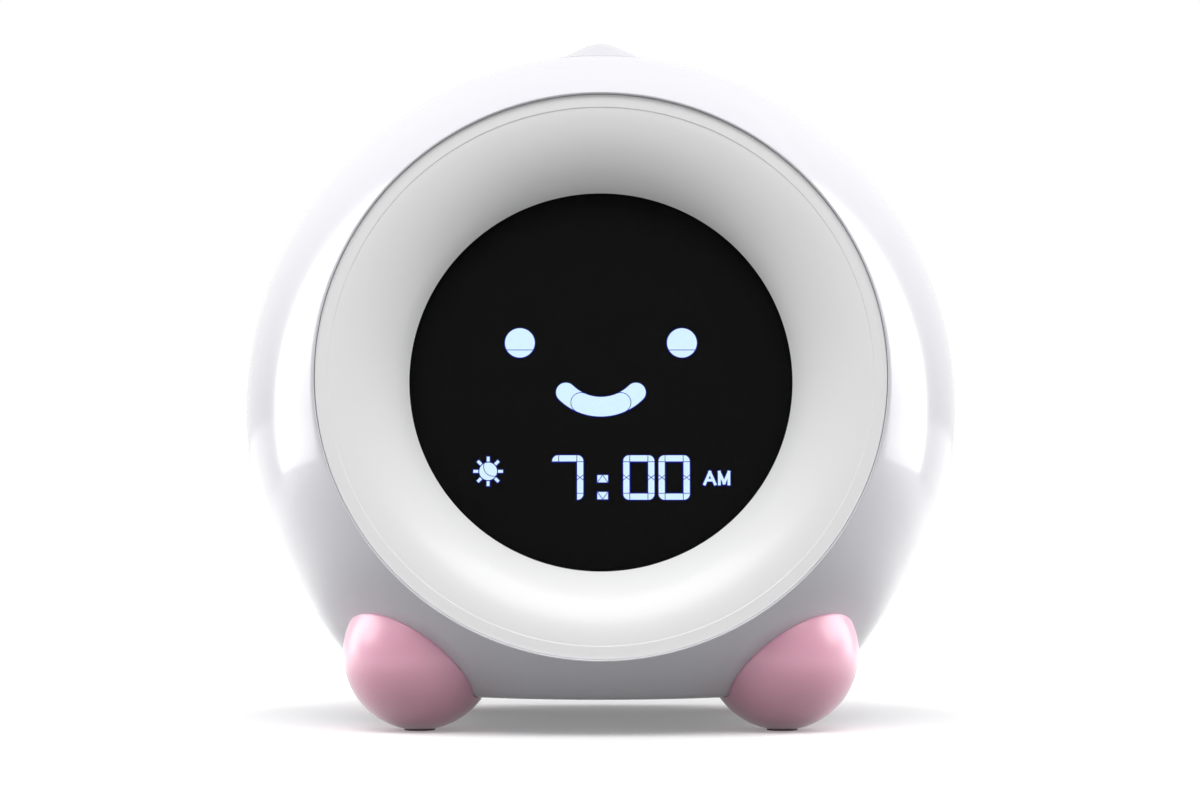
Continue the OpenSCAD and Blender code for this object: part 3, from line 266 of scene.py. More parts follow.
def gloss_plastic(name, colour, rough=0.17):
    """Injection-moulded gloss: faint flow mottling, micro scuffs in the roughness, orange-peel relief"""
    f = Finish(name, **{"Coat Weight": 0.25, "Coat Roughness": 0.06})
    flow = f.noise(14.0, 3.0)
    scuff = f.noise(420.0, 4.0, 0.6)
    f.colour(f.blend(flow, shade(colour, 0.985), shade(colour, 1.01)))
    f.rough(rough + (scuff - 0.5) * 0.05 + (flow - 0.5) * 0.03)
    f.relief(f.noise(900.0, 1.0), 0.000004, 0.25)


def satin_plastic(name, colour, rough, coat=0.0, sheen=0.0):
    """Fine spark-eroded satin: sand-like relief, colour a little uneven from the moulding"""
    f = Finish(name, **{"Coat Weight": coat, "Coat Roughness": 0.35,
                        "Sheen Weight": sheen, "Sheen Roughness": 0.35})
    cloud = f.noise(30.0, 4.0)
    fine = f.noise(1500.0, 2.0, 0.7)
    f.colour(f.blend(cloud * 0.7 + fine * 0.3, shade(colour, 0.965), shade(colour, 1.03)))
    f.rough(rough + (fine - 0.5) * 0.12)
    f.relief(fine, 0.000012, 0.3)


def ring_plastic(name, colour):
    """Milky diffuser: faintly uneven pigment, satin skin"""
    f = Finish(name, **{"Coat Weight": 0.18, "Coat Roughness": 0.12, "Specular IOR Level": 0.4})
    milk = f.noise(22.0, 3.0)
    skin = f.noise(700.0, 2.0, 0.6)
    f.colour(f.blend(milk, shade(colour, 0.985), shade(colour, 1.012)))
    f.rough(0.3 + (skin - 0.5) * 0.08)
    f.relief(skin, 0.000005, 0.2)


def window_tint(name, colour):
    """Dark tinted acrylic: clear enough for the lit figures, with dust-fine specks on its front"""
    f = Finish(name, **{"Specular IOR Level": 0.03, "IOR": 1.49})
    dust = f.noise(2600.0, 1.0)
    specks = dust.band(0.74, 0.8)
    f.colour(f.blend(specks * 0.35, colour, shade((0.5, 0.5, 0.5), 0.1)))
    f.rough(0.2 + f.noise(60.0) * 0.06)
    f.feed(f.shader.inputs["Alpha"], 0.1 + specks * 0.05)


def lit_figure(name, colour, side, forward):
    """Lit display segment: an even glow with a faint cell-like mottling on its front, and the border's
    colour on its sides, which shows in the narrow gaps between segments"""
    f = Finish(name, **{"Emission Strength": 1.2, "Specular IOR Level": 0.1})
    cells = f.noise(900.0, 2.0)
    glow = f.blend(cells, shade(colour, 0.97), shade(colour, 1.03))
    tilt = f.node("ShaderNodeVectorMath", {"operation": "DOT_PRODUCT"},
                  {0: f.node("ShaderNodeNewGeometry").outputs["True Normal"], 1: forward})
    front = Value(f, tilt.outputs["Value"]).band(0.8, 0.95)
    f.feed(f.shader.inputs["Emission Color"], f.blend(front, side, glow))
    f.colour(f.blend(front, side, f.blend(cells, (0.1, 0.12, 0.14), (0.12, 0.14, 0.16))))
    f.rough(0.5 + cells * 0.1)


def printed_film(name, colour, glow=0.0):
    """Thin printed film: dense ink with a fine screen pattern"""
    f = Finish(name, **{"Specular IOR Level": 0.03, "Emission Strength": glow})
    ink = f.noise(1800.0, 2.0)
    tone = f.blend(ink, shade(colour, 0.92), shade(colour, 1.06))
    f.colour(tone)
    f.feed(f.shader.inputs["Emission Color"], tone)
    f.rough(0.55 + ink * 0.12)


def steel(name, tone=(0.62, 0.62, 0.64), rough=0.3, metallic=1.0):
    """Rolled or turned metal: stretched brush lines, a few dull stains"""
    f = Finish(name, Metallic=metallic)
    stretch = f.node("ShaderNodeMapping", {}, {"Vector": f.place, "Scale": (1.0, 1.0, 14.0)}).outputs[0]
    lines = f.noise(320.0, 3.0, 0.6, stretch)
    stain = f.noise(90.0, 2.0).band(0.55, 0.8)
    f.colour(f.blend(lines * 0.6 + stain * 0.4, shade(tone, 1.08), shade(tone, 0.78)))
    f.rough(rough + (lines - 0.5) * 0.16 + stain * 0.12)
    f.relief(lines, 0.000008, 0.3)


def circuit_board(name):
    """Green solder mask over copper tracks: a grid of square cells picks which tracks show"""
    f = Finish(name, **{"Coat Weight": 0.3, "Coat Roughness": 0.2})
    cells = f.node("ShaderNodeTexVoronoi", {"distance": "CHEBYCHEV", "feature": "DISTANCE_TO_EDGE"},
                   {"Vector": f.place, "Scale": 260.0, "Randomness": 0.65})
    tracks = 1 - Value(f, cells.outputs["Distance"]).band(0.02, 0.08)
    f.colour(f.blend(tracks, (0.012, 0.11, 0.045), (0.045, 0.25, 0.1)))
    f.rough(0.34 + f.noise(500.0) * 0.08)
    f.relief(tracks, 0.00003, 0.5)


def moulded(name, colour, rough=0.55):
    """Plain engineering plastic of the inner pieces: matte grain, flow marks, slight relief"""
    f = Finish(name, **{"Specular IOR Level": 0.35})
    flow = f.noise(40.0, 4.0)
    grain = f.noise(1100.0, 3.0, 0.65)
    f.colour(f.blend(flow * 0.6 + grain * 0.4, shade(colour, 0.88), shade(colour, 1.1)))
    f.rough(rough + (grain - 0.5) * 0.16)
    f.relief(grain, 0.00001, 0.35)


def rubber(name, colour):
    """Soft rubber: dull, dusty in the hollows"""
    f = Finish(name, **{"Specular IOR Level": 0.3, "Sheen Weight": 0.1})
    pores = f.noise(1300.0, 3.0)
    dust = f.noise(160.0, 2.0).band(0.5, 0.85)
    f.colour(f.blend(dust * 0.5, colour, shade(colour, 2.2)))
    f.rough(0.78 + (pores - 0.5) * 0.14)
    f.relief(pores, 0.00002, 0.5)


def cell_sleeve(name):
    """Battery cell: a printed sleeve, dark with a copper-coloured end, worn to the bright can"""
    f = Finish(name, Metallic=0.55)
    band = f.axis("X").band(8.5 * MM, 9.2 * MM)
    wear = f.noise(240.0, 3.0)
    sleeve = f.blend(band, (0.05, 0.05, 0.055), (0.55, 0.34, 0.14))
    f.colour(f.blend(wear * 0.16, sleeve, (0.4, 0.4, 0.42)))
    f.rough(0.3 + wear * 0.14)


# ---------------------------------------------------------------- meshes


def grid(points, skip=()):
    """Quad faces over a grid of points (rows, columns, 3) whose columns run round. skip lists windows
    (first row, last row, first column, last column) that stay open."""
    rows, columns = points.shape[:2]
    i, j = np.meshgrid(np.arange(rows - 1), np.arange(columns), indexing="ij")
    keep = np.ones(i.shape, bool)
    for r0, r1, c0, c1 in skip:
        keep &= ~((i >= r0) & (i < r1) & (j >= c0) & (j < c1))
    i, j = i[keep], j[keep]
    j2 = (j + 1) % columns
    here, below = i * columns, (i + 1) * columns
    return points.reshape(-1, 3), np.stack([here + j, below + j, below + j2, here + j2], axis=-1), False


def tube(*loops):
    """Skin over loops of equal length; a loop stack of three dimensions counts as many loops"""
    return grid(np.concatenate([x[None] if x.ndim == 2 else x for x in loops]))


def make_piece(name, parts, body, slot, replaces, origin=BALL, finish=None):
    """One object out of (points, faces, flat) parts. Points that meet are welded, which closes seams
    and poles, and the faces are turned outward all over the closed form. Edges sharper than 40
    degrees stay crisp."""
    points = np.vstack([p for p, _, _ in parts]) + origin
    start = np.cumsum([0] + [len(p) for p, _, _ in parts])
    groups = [(faces + offset, flat) for (_, faces, flat), offset in zip(parts, start)]
    corners = np.concatenate([g.ravel() for g, _ in groups])
    sizes = np.concatenate([np.full(len(g), g.shape[1]) for g, _ in groups])
    smooth = np.concatenate([np.full(len(g), not flat) for g, flat in groups])
    mesh = bpy.data.meshes.new(name)
    mesh.vertices.add(len(points))
    mesh.vertices.foreach_set("co", points.astype(np.float32).ravel())
    mesh.loops.add(len(corners))
    mesh.loops.foreach_set("vertex_index", corners.astype(np.int32))
    mesh.polygons.add(len(sizes))
    mesh.polygons.foreach_set("loop_start", (np.cumsum(sizes) - sizes).astype(np.int32))
    mesh.polygons.foreach_set("use_smooth", smooth)
    mesh.update(calc_edges=True)
    work = bmesh.new()
    work.from_mesh(mesh)
    bmesh.ops.remove_doubles(work, verts=work.verts, dist=1e-6)
    bmesh.ops.recalc_face_normals(work, faces=work.faces)
    if work.calc_volume(signed=True) < 0:
        bmesh.ops.reverse_faces(work, faces=work.faces)
    work.to_mesh(mesh)
    work.free()
    mesh.set_sharp_from_angle(angle=math.radians(40))
    mesh.materials.append(FINISHES[finish or slot])
    piece = bpy.data.objects.new(name, mesh)
    bpy.context.scene.collection.objects.link(piece)
    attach(piece, body)
    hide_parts(*replaces)
    return piece


def revolve(profile, across, up, axis, steps, middle=(0, 0, 0)):
    """Points of a profile of (radius, height) turned about an axis:
    middle + radius (cos a across + sin a up) + height axis"""
    a = np.arange(steps) * TAU / steps
    turn = np.cos(a)[:, None] * across + np.sin(a)[:, None] * up
    radius, height = np.asarray(profile).T[..., None, None]
    return np.asarray(middle) + radius * turn + height * np.asarray(axis)


def arc(centre, radius, start, end, steps):
    """Points of an arc between two angles in degrees; the radius may change evenly along it"""
    a = np.radians(np.linspace(start, end, steps))
    r = np.linspace(*radius, steps) if isinstance(radius, tuple) else radius
    return np.stack([centre[0] + r * np.cos(a), centre[1] + r * np.sin(a)], axis=-1)


def unit(v):
    return v / np.linalg.norm(v, axis=-1, keepdims=True)


def soft_min(a, b, k):
    """Smaller of two, blended where they are within k of each other"""
    h = np.clip(0.5 + 0.5 * (b - a) / k, 0, 1)
    return b * (1 - h) + a * h - k * h * (1 - h)


def face_axes(s):
    """Across, up and forward directions of the leaning face"""
    c, n = math.cos(s.face_tilt), math.sin(s.face_tilt)
    return np.array([1.0, 0, 0]), np.array([0, n, c]), np.array([0, -c, n])


def edge_ring(s):
    """Radius and depth of the ring about which the round edge of the back is drawn"""
    back = s.back_depth - s.back_round
    return math.sqrt((s.ball_radius - s.back_round) ** 2 - back ** 2), back


def casing_reach(d, s, inset=0.0):
    """Distance from the ball's middle to the casing along unit directions d: the ball, then the
    round edge (a circle of the back's rounding, about a ring), then the flat back, and under all
    of them the flat base, blended in with a soft minimum. inset moves every surface inward."""
    radial, back = np.hypot(d[..., 0], d[..., 2]), d[..., 1]
    ring, depth = edge_ring(s)
    along = ring * radial + depth * back
    edge = along + np.sqrt(np.maximum(along ** 2 - ring ** 2 - depth ** 2 + (s.back_round - inset) ** 2, 0))
    flat = (s.back_depth - inset) / np.maximum(back, 1e-6)
    reach = np.where(radial * depth >= ring * back, s.ball_radius - inset,
                     np.where(radial * (s.back_depth - inset) <= ring * back, flat, edge))
    return soft_min(reach, (s.floor_drop - inset) / np.maximum(-d[..., 2], 1e-6), s.floor_soft)


def between(a, b, rows):
    """Unit directions on the great circles from each of a to each of b"""
    whole = np.arccos(np.clip(np.einsum("ij,ij->i", a, b), -1, 1))[None, :, None]
    w = np.linspace(0, 1, rows)[:, None, None]
    return (np.sin((1 - w) * whole) * a + np.sin(w * whole) * b) / np.sin(whole)


def skin_between(a, b, rows, s, inset=0.0):
    """Casing surface on the great circles from each point of a to each of b"""
    d = between(unit(a), unit(b), rows)
    return d * casing_reach(d, s, inset)[..., None]


def lipped(edge, toward, normal, f):
    """Rows of a quarter-round lip from an edge: edge + f sin a toward - f (1 - cos a) normal"""
    a = np.linspace(0, math.pi / 2, 5)[1:, None, None]
    return edge + f * np.sin(a) * toward - f * (1 - np.cos(a)) * normal


def window_round(skin, near):
    """Smallest window of a grid that holds the marked points"""
    r, c = np.where(near.any(axis=1))[0], np.where(near.any(axis=0))[0]
    return max(r[0] - 1, 0), min(r[-1] + 1, skin.shape[0] - 1), c[0] - 1, c[-1] + 1


def window_loop(skin, window):
    """The points round a window of a grid, in order"""
    r0, r1, c0, c1 = window
    return np.concatenate([skin[r0, c0:c1], skin[r0:r1, c1], skin[r1, c1:c0:-1], skin[r1:r0:-1, c0]])


def stitch(low, high, turn, aim):
    """Band of triangles between two closed rings, low and high, that have their own counts of points.
    turn and aim hold the directions of their points across the hole. Both rings are merged by angle:
    each step moves along one of them and makes one triangle."""
    want = np.unwrap(np.arctan2(*turn.T[::-1]))
    angle = np.unwrap(np.arctan2(*aim.T[::-1]))
    go = np.sign(want[-1] - want[0])
    if np.sign(angle[-1] - angle[0]) != go:
        high, angle = high[::-1], angle[::-1]
    shift = int(np.argmin(np.abs((angle - want[0] + math.pi) % TAU - math.pi)))
    high = np.roll(high, -shift, axis=0)
    p = (go * (want - want[0])) % TAU
    q = (go * (np.roll(angle, -shift) - want[0]) + 0.5) % TAU - 0.5
    n, m = len(low), len(high)
    on_high = np.argsort(np.concatenate([p, q]), kind="stable") >= n
    i = np.append(np.cumsum(~on_high) - 1, n)
    j = np.append(np.cumsum(on_high) - 1, m)
    a, b = i[:-1] % n, j[:-1] % m + n
    a2, b2 = i[1:] % n, j[1:] % m + n
    faces = np.stack([a, b, np.where(a2 != a, a2, b2)], axis=-1)
    return np.vstack([low, high]), faces, False


def bore(outer, inner, centre, plane, heights, steps, near_side, f):
    """Round hole through both skins of a wall. plane picks the two coordinates across the hole and
    heights gives the third one over them, for either skin. steps are the (radius, height) rings of
    the hole's wall from the outer lip inward, and f is the rounding of that lip: f sin b inward and
    f (1 - cos b) down. Returns the window left in each skin and the parts that join the two."""
    rest = ({0, 1, 2} - set(plane)).pop()
    first, last = steps[0][0], steps[-1][0]
    margin = 0.5 * MM

    def lift(q, height):
        out = np.zeros(q.shape[:-1] + (3,))
        out[..., plane] = q
        out[..., rest] = height
        return out

    windows = []
    for skin, radius in ((outer, first + f), (inner, last)):
        near = np.linalg.norm(skin[..., plane] - centre, axis=-1) < radius + margin
        windows.append(window_round(skin, near & near_side(skin)))
    mouth, throat = (window_loop(skin, w) for skin, w in zip((outer, inner), windows))
    turn = unit(mouth[:, plane] - centre)
    share = np.linspace(0, 1, 7)[:, None, None]
    wide = centre + turn * (first + f)
    rows = [lift(q, heights(q, False)) for q in (1 - share) * mouth[:, plane] + share * wide]
    lip = rows[-1][:, rest]
    sign = np.sign(steps[-1][1] - lip.mean())
    rows += [lift(wide - turn * f * np.sin(b), lip + sign * f * (1 - np.cos(b)))
             for b in np.linspace(0, math.pi / 2, 5)[1:]]
    rows += [lift(centre + turn * r, z) for r, z in steps[1:-1]]
    rim = centre + turn * last
    rows.append(lift(rim, heights(rim, True)))
    return windows, [tube(*rows), stitch(rows[-1], throat, turn, throat[:, plane] - centre)]


def disc_between(outer_loop, holes, y):
    """Flat plate at depth y inside a loop of (x, z) points and outside the hole loops. The triangles
    are a constrained Delaunay net; one stays if a ray from its middle crosses the loops an odd
    number of times."""
    loops = [outer_loop, *holes]
    points = np.vstack(loops)
    start = np.cumsum([0] + [len(x) for x in loops])
    edges = np.vstack([np.stack([np.arange(a, b), np.roll(np.arange(a, b), -1)], axis=-1)
                       for a, b in zip(start[:-1], start[1:])])
    scale = 1000.0  # the net's own tolerance suits millimetres
    net = delaunay_2d_cdt([Vector(p) for p in (points * scale).tolist()], edges.tolist(), [], 0, 1e-5)
    places = np.array([v[:] for v in net[0]]) / scale
    faces = np.array(net[2])
    middle = places[faces].mean(axis=1)
    a, b = points[edges[:, 0]], points[edges[:, 1]]
    straddle = (a[None, :, 1] > middle[:, None, 1]) != (b[None, :, 1] > middle[:, None, 1])
    rise = np.where(b[:, 1] == a[:, 1], 1e-12, b[:, 1] - a[:, 1])
    cross = a[None, :, 0] + (middle[:, None, 1] - a[None, :, 1]) * ((b[:, 0] - a[:, 0]) / rise)[None]
    odd = (straddle & (middle[:, None, 0] < cross)).sum(axis=1) % 2 == 1
    out = np.stack([places[:, 0], np.full(len(places), y), places[:, 1]], axis=-1)
    return out, faces[odd], True


def round_loop(centre, radius, steps=48):
    """Function from an offset to a circle of (x, z) points with that much more radius"""
    a = np.arange(steps) * TAU / steps
    turn = np.stack([np.cos(a), np.sin(a)], axis=-1)
    return lambda offset: np.asarray(centre) + (radius + offset) * turn


def slot_loop(centre, half, radius, steps=12):
    """The same for a rectangle with round corners"""
    def at(offset):
        corners = []
        for k, (sx, sz) in enumerate(((1, 1), (-1, 1), (-1, -1), (1, -1))):
            c = (centre[0] + sx * (half[0] - radius), centre[1] + sz * (half[1] - radius))
            corners.append(arc(c, radius + offset, 90 * k, 90 * (k + 1), steps))
        return np.vstack(corners)
    return at


def front_skin(s, rows=100, columns=360):
    """Front half of the casing. Each column of its grids runs on a great circle from the opening's
    lip to its own point of the far edge: the joint plane at the sides and top, the opening for the
    base plate below. Outer and inner skin are joined by a lip at each end."""
    across, up, ahead = face_axes(s)
    f = s.edge_round
    away = np.linspace(0, 360, columns, endpoint=False)  # from the bottom, towards +X
    side = np.where(away <= 180, 1.0, -1.0)
    away = np.minimum(away, 360 - away)
    hole_end, base_end = 55, 60  # where the far edge leaves the base opening, and then the base
    on_hole, on_base = away <= hole_end, away <= base_end
    inner_radius = s.ball_radius - s.wall

    def from_bottom(profile):
        return np.roll(revolve(profile, across, up, ahead, columns), columns // 4, axis=1)

    def far_edge(y, hole, low, radius):
        """Base opening, then a straight run on the base, then the joint circle"""
        step = y - s.base_hole_back
        corner = math.atan2(step, math.sqrt(hole ** 2 - step ** 2))
        seam = math.sqrt(radius ** 2 - y ** 2)
        foot = math.asin(low / seam)
        g = -math.pi / 2 + np.clip(away / hole_end, 0, 1) * (corner + math.pi / 2)
        share = np.clip((away - hole_end) / (base_end - hole_end), 0, 1)
        h = foot + np.clip((away - base_end) / (180 - base_end), 0, 1) * (math.pi / 2 - foot)
        run = hole * math.cos(corner) * (1 - share) + seam * math.cos(foot) * share
        x = np.where(on_hole, hole * np.cos(g), np.where(on_base, run, seam * np.cos(h)))
        depth = np.where(on_hole, s.base_hole_back + hole * np.sin(g), y)
        return np.stack([side * x, depth, np.where(on_base, low, seam * np.sin(h))], axis=-1)

    lip_r = s.mouth_radius + f
    lip_s = math.sqrt((s.ball_radius - f) ** 2 - lip_r ** 2)
    lean = math.degrees(math.atan2(lip_s, lip_r))
    throat = (s.mouth_radius, math.sqrt(inner_radius ** 2 - s.mouth_radius ** 2))
    opening = from_bottom(np.vstack([[throat], arc((lip_r, lip_s), f, 180, lean, 7)]))
    far = far_edge(s.seam_back - f, s.base_hole_radius + f, -s.floor_drop, s.ball_radius)
    far_in = far_edge(s.seam_back, s.base_hole_radius, -s.floor_drop + s.wall, inner_radius)
    outer = skin_between(opening[-1], far, rows, s)
    inner = skin_between(opening[0], far_in, rows, s, s.wall)
    base_middle = np.array([0, s.base_hole_back, -s.floor_drop])
    toward = np.where(on_hole[:, None], unit(base_middle - far), [0, 1.0, 0])
    normal = np.where(on_base[:, None], [0, 0, -1.0], unit(far))
    ends = [tube(outer[-1], lipped(outer[-1], toward, normal, f), inner[-1]),
            tube(inner[0], opening[0], opening[1:], outer[0])]
    return outer, inner, ends


def rear_skin(s, rows=90, columns=360):
    """Rear half of the casing: its grids run from the rim of the flat back, over the round edge and
    the ball, to the joint plane or, below, to the opening for the base plate"""
    f = s.edge_round
    phi = np.arange(columns) * TAU / columns
    c, n = np.cos(phi), np.sin(phi)
    ring = edge_ring(s)[0]

    def far_edge(y, hole, low, radius):
        """The joint circle, or on the base a straight line or the base opening, whichever is behind"""
        seam = math.sqrt(radius ** 2 - y ** 2)
        on_base = seam * n < low
        x = np.where(on_base, c * low / np.where(n == 0, 1, n), seam * c)
        arc_y = s.base_hole_back + np.sqrt(np.maximum(hole ** 2 - x ** 2, 0))
        curved = on_base & (arc_y > y)
        edge = np.stack([x, np.where(curved, arc_y, y), np.where(on_base, low, seam * n)], axis=-1)
        return edge, on_base, curved

    rim = np.stack([ring * c, np.full(columns, s.back_depth), ring * n], axis=-1)
    far, on_base, curved = far_edge(s.seam_back + f, s.base_hole_radius + f, -s.floor_drop, s.ball_radius)
    far_in = far_edge(s.seam_back, s.base_hole_radius, -s.floor_drop + s.wall, s.ball_radius - s.wall)[0]
    outer = skin_between(rim, far, rows, s)
    inner = skin_between(rim, far_in, rows, s, s.wall)
    base_middle = np.array([0, s.base_hole_back, -s.floor_drop])
    toward = np.where(curved[:, None], unit(base_middle - far), [0, -1.0, 0])
    normal = np.where(on_base[:, None], [0, 0, -1.0], unit(far))
    return outer, inner, [tube(outer[-1], lipped(outer[-1], toward, normal, f), inner[-1])]


def push_profile(radius, flange, proud, thick, stem, end):
    """Side, flange and stem of a button, as (radius, height) points down to its closed end"""
    return [[radius, flange], [radius + proud, flange], [radius + proud, flange - thick],
            [stem, flange - thick], [stem, end], [0, end]]


class Builder:
    """Shared base of the operators, each of which has a build method that takes the clock's sizes"""

    bl_options = {"REGISTER", "UNDO"}

    def execute(self, context):
        self.build(context.scene.clock_sizes)
        return {"FINISHED"}


class CLOCK_OT_finishes(Builder, bpy.types.Operator):
    """Makes the materials and gives the nodes of the CAD model theirs"""

    bl_idname = "clock.finishes"
    bl_label = "Finishes"

    def build(self, s):
        c = bpy.context.scene.clock_colours
        casing, pink, border = tuple(c.casing), tuple(c.pink), tuple(c.border)
        gloss_plastic("shell_white", casing)
        ring_plastic("ring_white", tuple(c.ring))
        window_tint("window_tint", tuple(c.window))
        printed_film("mask_black", (0.005, 0.005, 0.005))
        printed_film("film_blue", border, 0.5)
        moulded("guide_white", (0.8, 0.8, 0.8), 0.5)
        lit_figure("lit_figure", tuple(c.figures), border, tuple(face_axes(s)[2]))
        circuit_board("board_green")
        gloss_plastic("lamp_yellow", (0.8, 0.72, 0.3), 0.2)
        moulded("grey_plastic", (0.12, 0.12, 0.13))
        moulded("black_plastic", (0.02, 0.02, 0.022), 0.5)
        steel("steel")
        # The button's white is the casing's white darkened to 0.92: painted shade that tones down the top
        # softbox's light on it
        satin_plastic("knob_shaded_white", shade(casing, 0.92), 0.4)
        satin_plastic("foot_pink", pink, 0.3, coat=1.0, sheen=0.3)
        satin_plastic("key_pink", pink, 0.3, coat=0.15)
        rubber("rubber_grey", (0.2, 0.15, 0.165))
        steel("can_aluminium", (0.55, 0.57, 0.6), 0.35, 0.9)
        rubber("cone_paper", (0.02, 0.02, 0.02))
        steel("magnet_grey", (0.3, 0.3, 0.32), 0.4, 0.8)
        rubber("wire_red", (0.35, 0.02, 0.02))
        cell_sleeve("cell_label")
        steel("contact_plate", (0.75, 0.6, 0.36), 0.3)
        moulded("ribbon_white", (0.75, 0.75, 0.76), 0.4)
        for part in frame["record"]["subparts"]:
            mesh = frame["nodes"][part["node"]].data
            mesh.materials.clear()
            mesh.materials.append(FINISHES[part["material_slot"]])


class CLOCK_OT_front_shell(Builder, bpy.types.Operator):
    """Front half of the casing, with the openings for the light ring, the top button and the base"""

    bl_idname = "clock.front_shell"
    bl_label = "Front shell"

    def build(self, s):
        outer, inner, ends = front_skin(s)

        def ball_height(q, inside):
            radius = s.ball_radius - (s.wall if inside else 0)
            return np.sqrt(radius ** 2 - (q ** 2).sum(axis=-1))

        hole = s.knob_radius + s.part_gap
        windows, parts = bore(outer, inner, np.zeros(2), [0, 1], ball_height,
                              [(hole, s.ball_radius), (hole, 0)], lambda p: p[..., 2] > 0, s.edge_round)
        skins = [grid(outer, windows[:1]), grid(inner, windows[1:])]
        make_piece("front_shell_surface", skins + ends + parts, "case", "shell_white", ["front_shell"])


class CLOCK_OT_rear_shell(Builder, bpy.types.Operator):
    """Rear half of the casing: keys' holes, speaker grille, socket and switch slots in its flat back,
    four deep screw recesses in its round edge"""

    bl_idname = "clock.rear_shell"
    bl_label = "Rear shell"

    def build(self, s):
        outer, inner, parts = rear_skin(s)
        ring, depth = edge_ring(s)

        def edge_height(q, inside):
            radius = s.back_round - (s.wall if inside else 0)
            over = np.maximum(np.linalg.norm(q, axis=-1) - ring, 0)
            return depth + np.sqrt(radius ** 2 - over ** 2)

        # Screw recesses: radii of the recess, the screw's hole and the boss round both, on a circle
        recess, shaft, boss, circle = 2.8 * MM, 1.5 * MM, 4.4 * MM, 64 * MM
        seat, seat_wall, lip = 22 * MM, 1.5 * MM, 0.4 * MM
        steps = [(recess, 0), (recess, seat), (shaft, seat), (shaft, seat - seat_wall),
                 (boss, seat - seat_wall), (boss, seat)]
        cuts = [[], []]
        for angle in np.radians([45, 135, 225, 315]):
            centre = circle * np.array([math.cos(angle), math.sin(angle)])
            windows, tubes = bore(outer, inner, centre, [0, 2], edge_height, steps,
                                  lambda p: p[..., 1] > depth, lip)
            parts += tubes
            for cut, window in zip(cuts, windows):
                cut.append(window)
        parts += [grid(outer, cuts[0]), grid(inner, cuts[1])]
        # Two rows of keys, the socket and the switch below them, and the speaker grille above
        holes = [round_loop((x * MM, z * MM), s.key_radius + s.part_gap)
                 for x in (-24, -8, 8, 24) for z in (-11, -27)]
        slot_z = -43.5 * MM
        holes += [slot_loop((0, slot_z), (4.67 * MM, 1.78 * MM), 1.6 * MM),
                  slot_loop((22 * MM, slot_z), (3.9 * MM, 1.8 * MM), 0.4 * MM)]
        grille_z, pitch, grille_hole = 25 * MM, 4.2 * MM, 1.1 * MM
        for k in range(4):
            for i in range(max(6 * k, 1)):
                a = math.radians(60 * i / max(k, 1))
                holes.append(round_loop((pitch * k * math.cos(a), grille_z + pitch * k * math.sin(a)),
                                        grille_hole, 24))
        f = 0.25 * MM
        back, inside = s.back_depth, s.back_depth - s.wall
        for hole in holes:
            rows = [np.insert(hole(f * (1 - math.sin(b))), 1, back - f * (1 - math.cos(b)), axis=1)
                    for b in np.linspace(0, math.pi / 2, 4)]
            parts.append(tube(*rows, np.insert(hole(0), 1, inside, axis=1)))
        parts.append(disc_between(outer[0][:, [0, 2]], [h(f) for h in holes], back))
        parts.append(disc_between(inner[0][:, [0, 2]], [h(0) for h in holes], inside))
        make_piece("rear_shell_surface", parts, "case", "shell_white", ["rear_shell"])


class CLOCK_OT_light_ring(Builder, bpy.types.Operator):
    """Diffusing ring round the display: a trumpet curve from the flat rim in to the window"""

    bl_idname = "clock.light_ring"
    bl_label = "Light ring"

    def build(self, s):
        # The trumpet is an arc that turns through twice this angle, and thins a little outward
        half, wall = math.radians(25), 2 * MM
        step, f = 0.15 * MM, 0.2 * MM
        inner_rim = s.ring_radius - s.rim_width
        start, end = np.array([[s.window_radius, s.window_front], [inner_rim, s.rim_front]])
        span = end - start
        radius = np.linalg.norm(span) / (2 * math.sin(half))
        out = unit(np.array([span[1], -span[0]]))
        middle = start + span / 2 + out * radius * math.cos(half)
        a0, a1 = (math.degrees(math.atan2(*(p - middle)[::-1])) for p in (start, end))
        front = arc(middle, (radius, radius - step), a0, a1, 64)
        back = arc(middle, radius - wall, a1, a0, 64)
        flange, thick, proud = 46.86 * MM, 1.6 * MM, 1.2 * MM
        profile = np.vstack([
            front,
            arc((inner_rim + step, s.rim_front - step), step, 175, 90, 5),
            arc((s.ring_radius - f, s.rim_front - f), f, 90, 0, 9),
            [[s.ring_radius, flange], [s.ring_radius + proud, flange],
             [s.ring_radius + proud, flange - thick], [s.ring_radius - wall, flange - thick]],
            back[back[:, 0] < s.ring_radius - wall], front[:1]])
        points = revolve(profile, *face_axes(s), 320)
        make_piece("light_ring_surface", [grid(points)], "case", "ring_white", ["light_ring"])


class CLOCK_OT_window(Builder, bpy.types.Operator):
    """Tinted disc in front of the display, with a hair-thin rounded edge"""

    bl_idname = "clock.window"
    bl_label = "Display window"

    def build(self, s):
        gap, f, thick, proud = 0.15 * MM, 0.15 * MM, 1.6 * MM, 2.15 * MM
        r, front = s.window_radius - gap, s.window_front
        back = front - 2 * thick
        profile = np.vstack([[[0, front]], arc((r - f, front - f), f, 90, 0, 6),
                             [[r, front - thick], [r + proud, front - thick], [r + proud, back], [0, back]]])
        points = revolve(profile, *face_axes(s), 256)
        make_piece("window_surface", [grid(points)], "case", "window_tint", ["display_window"])


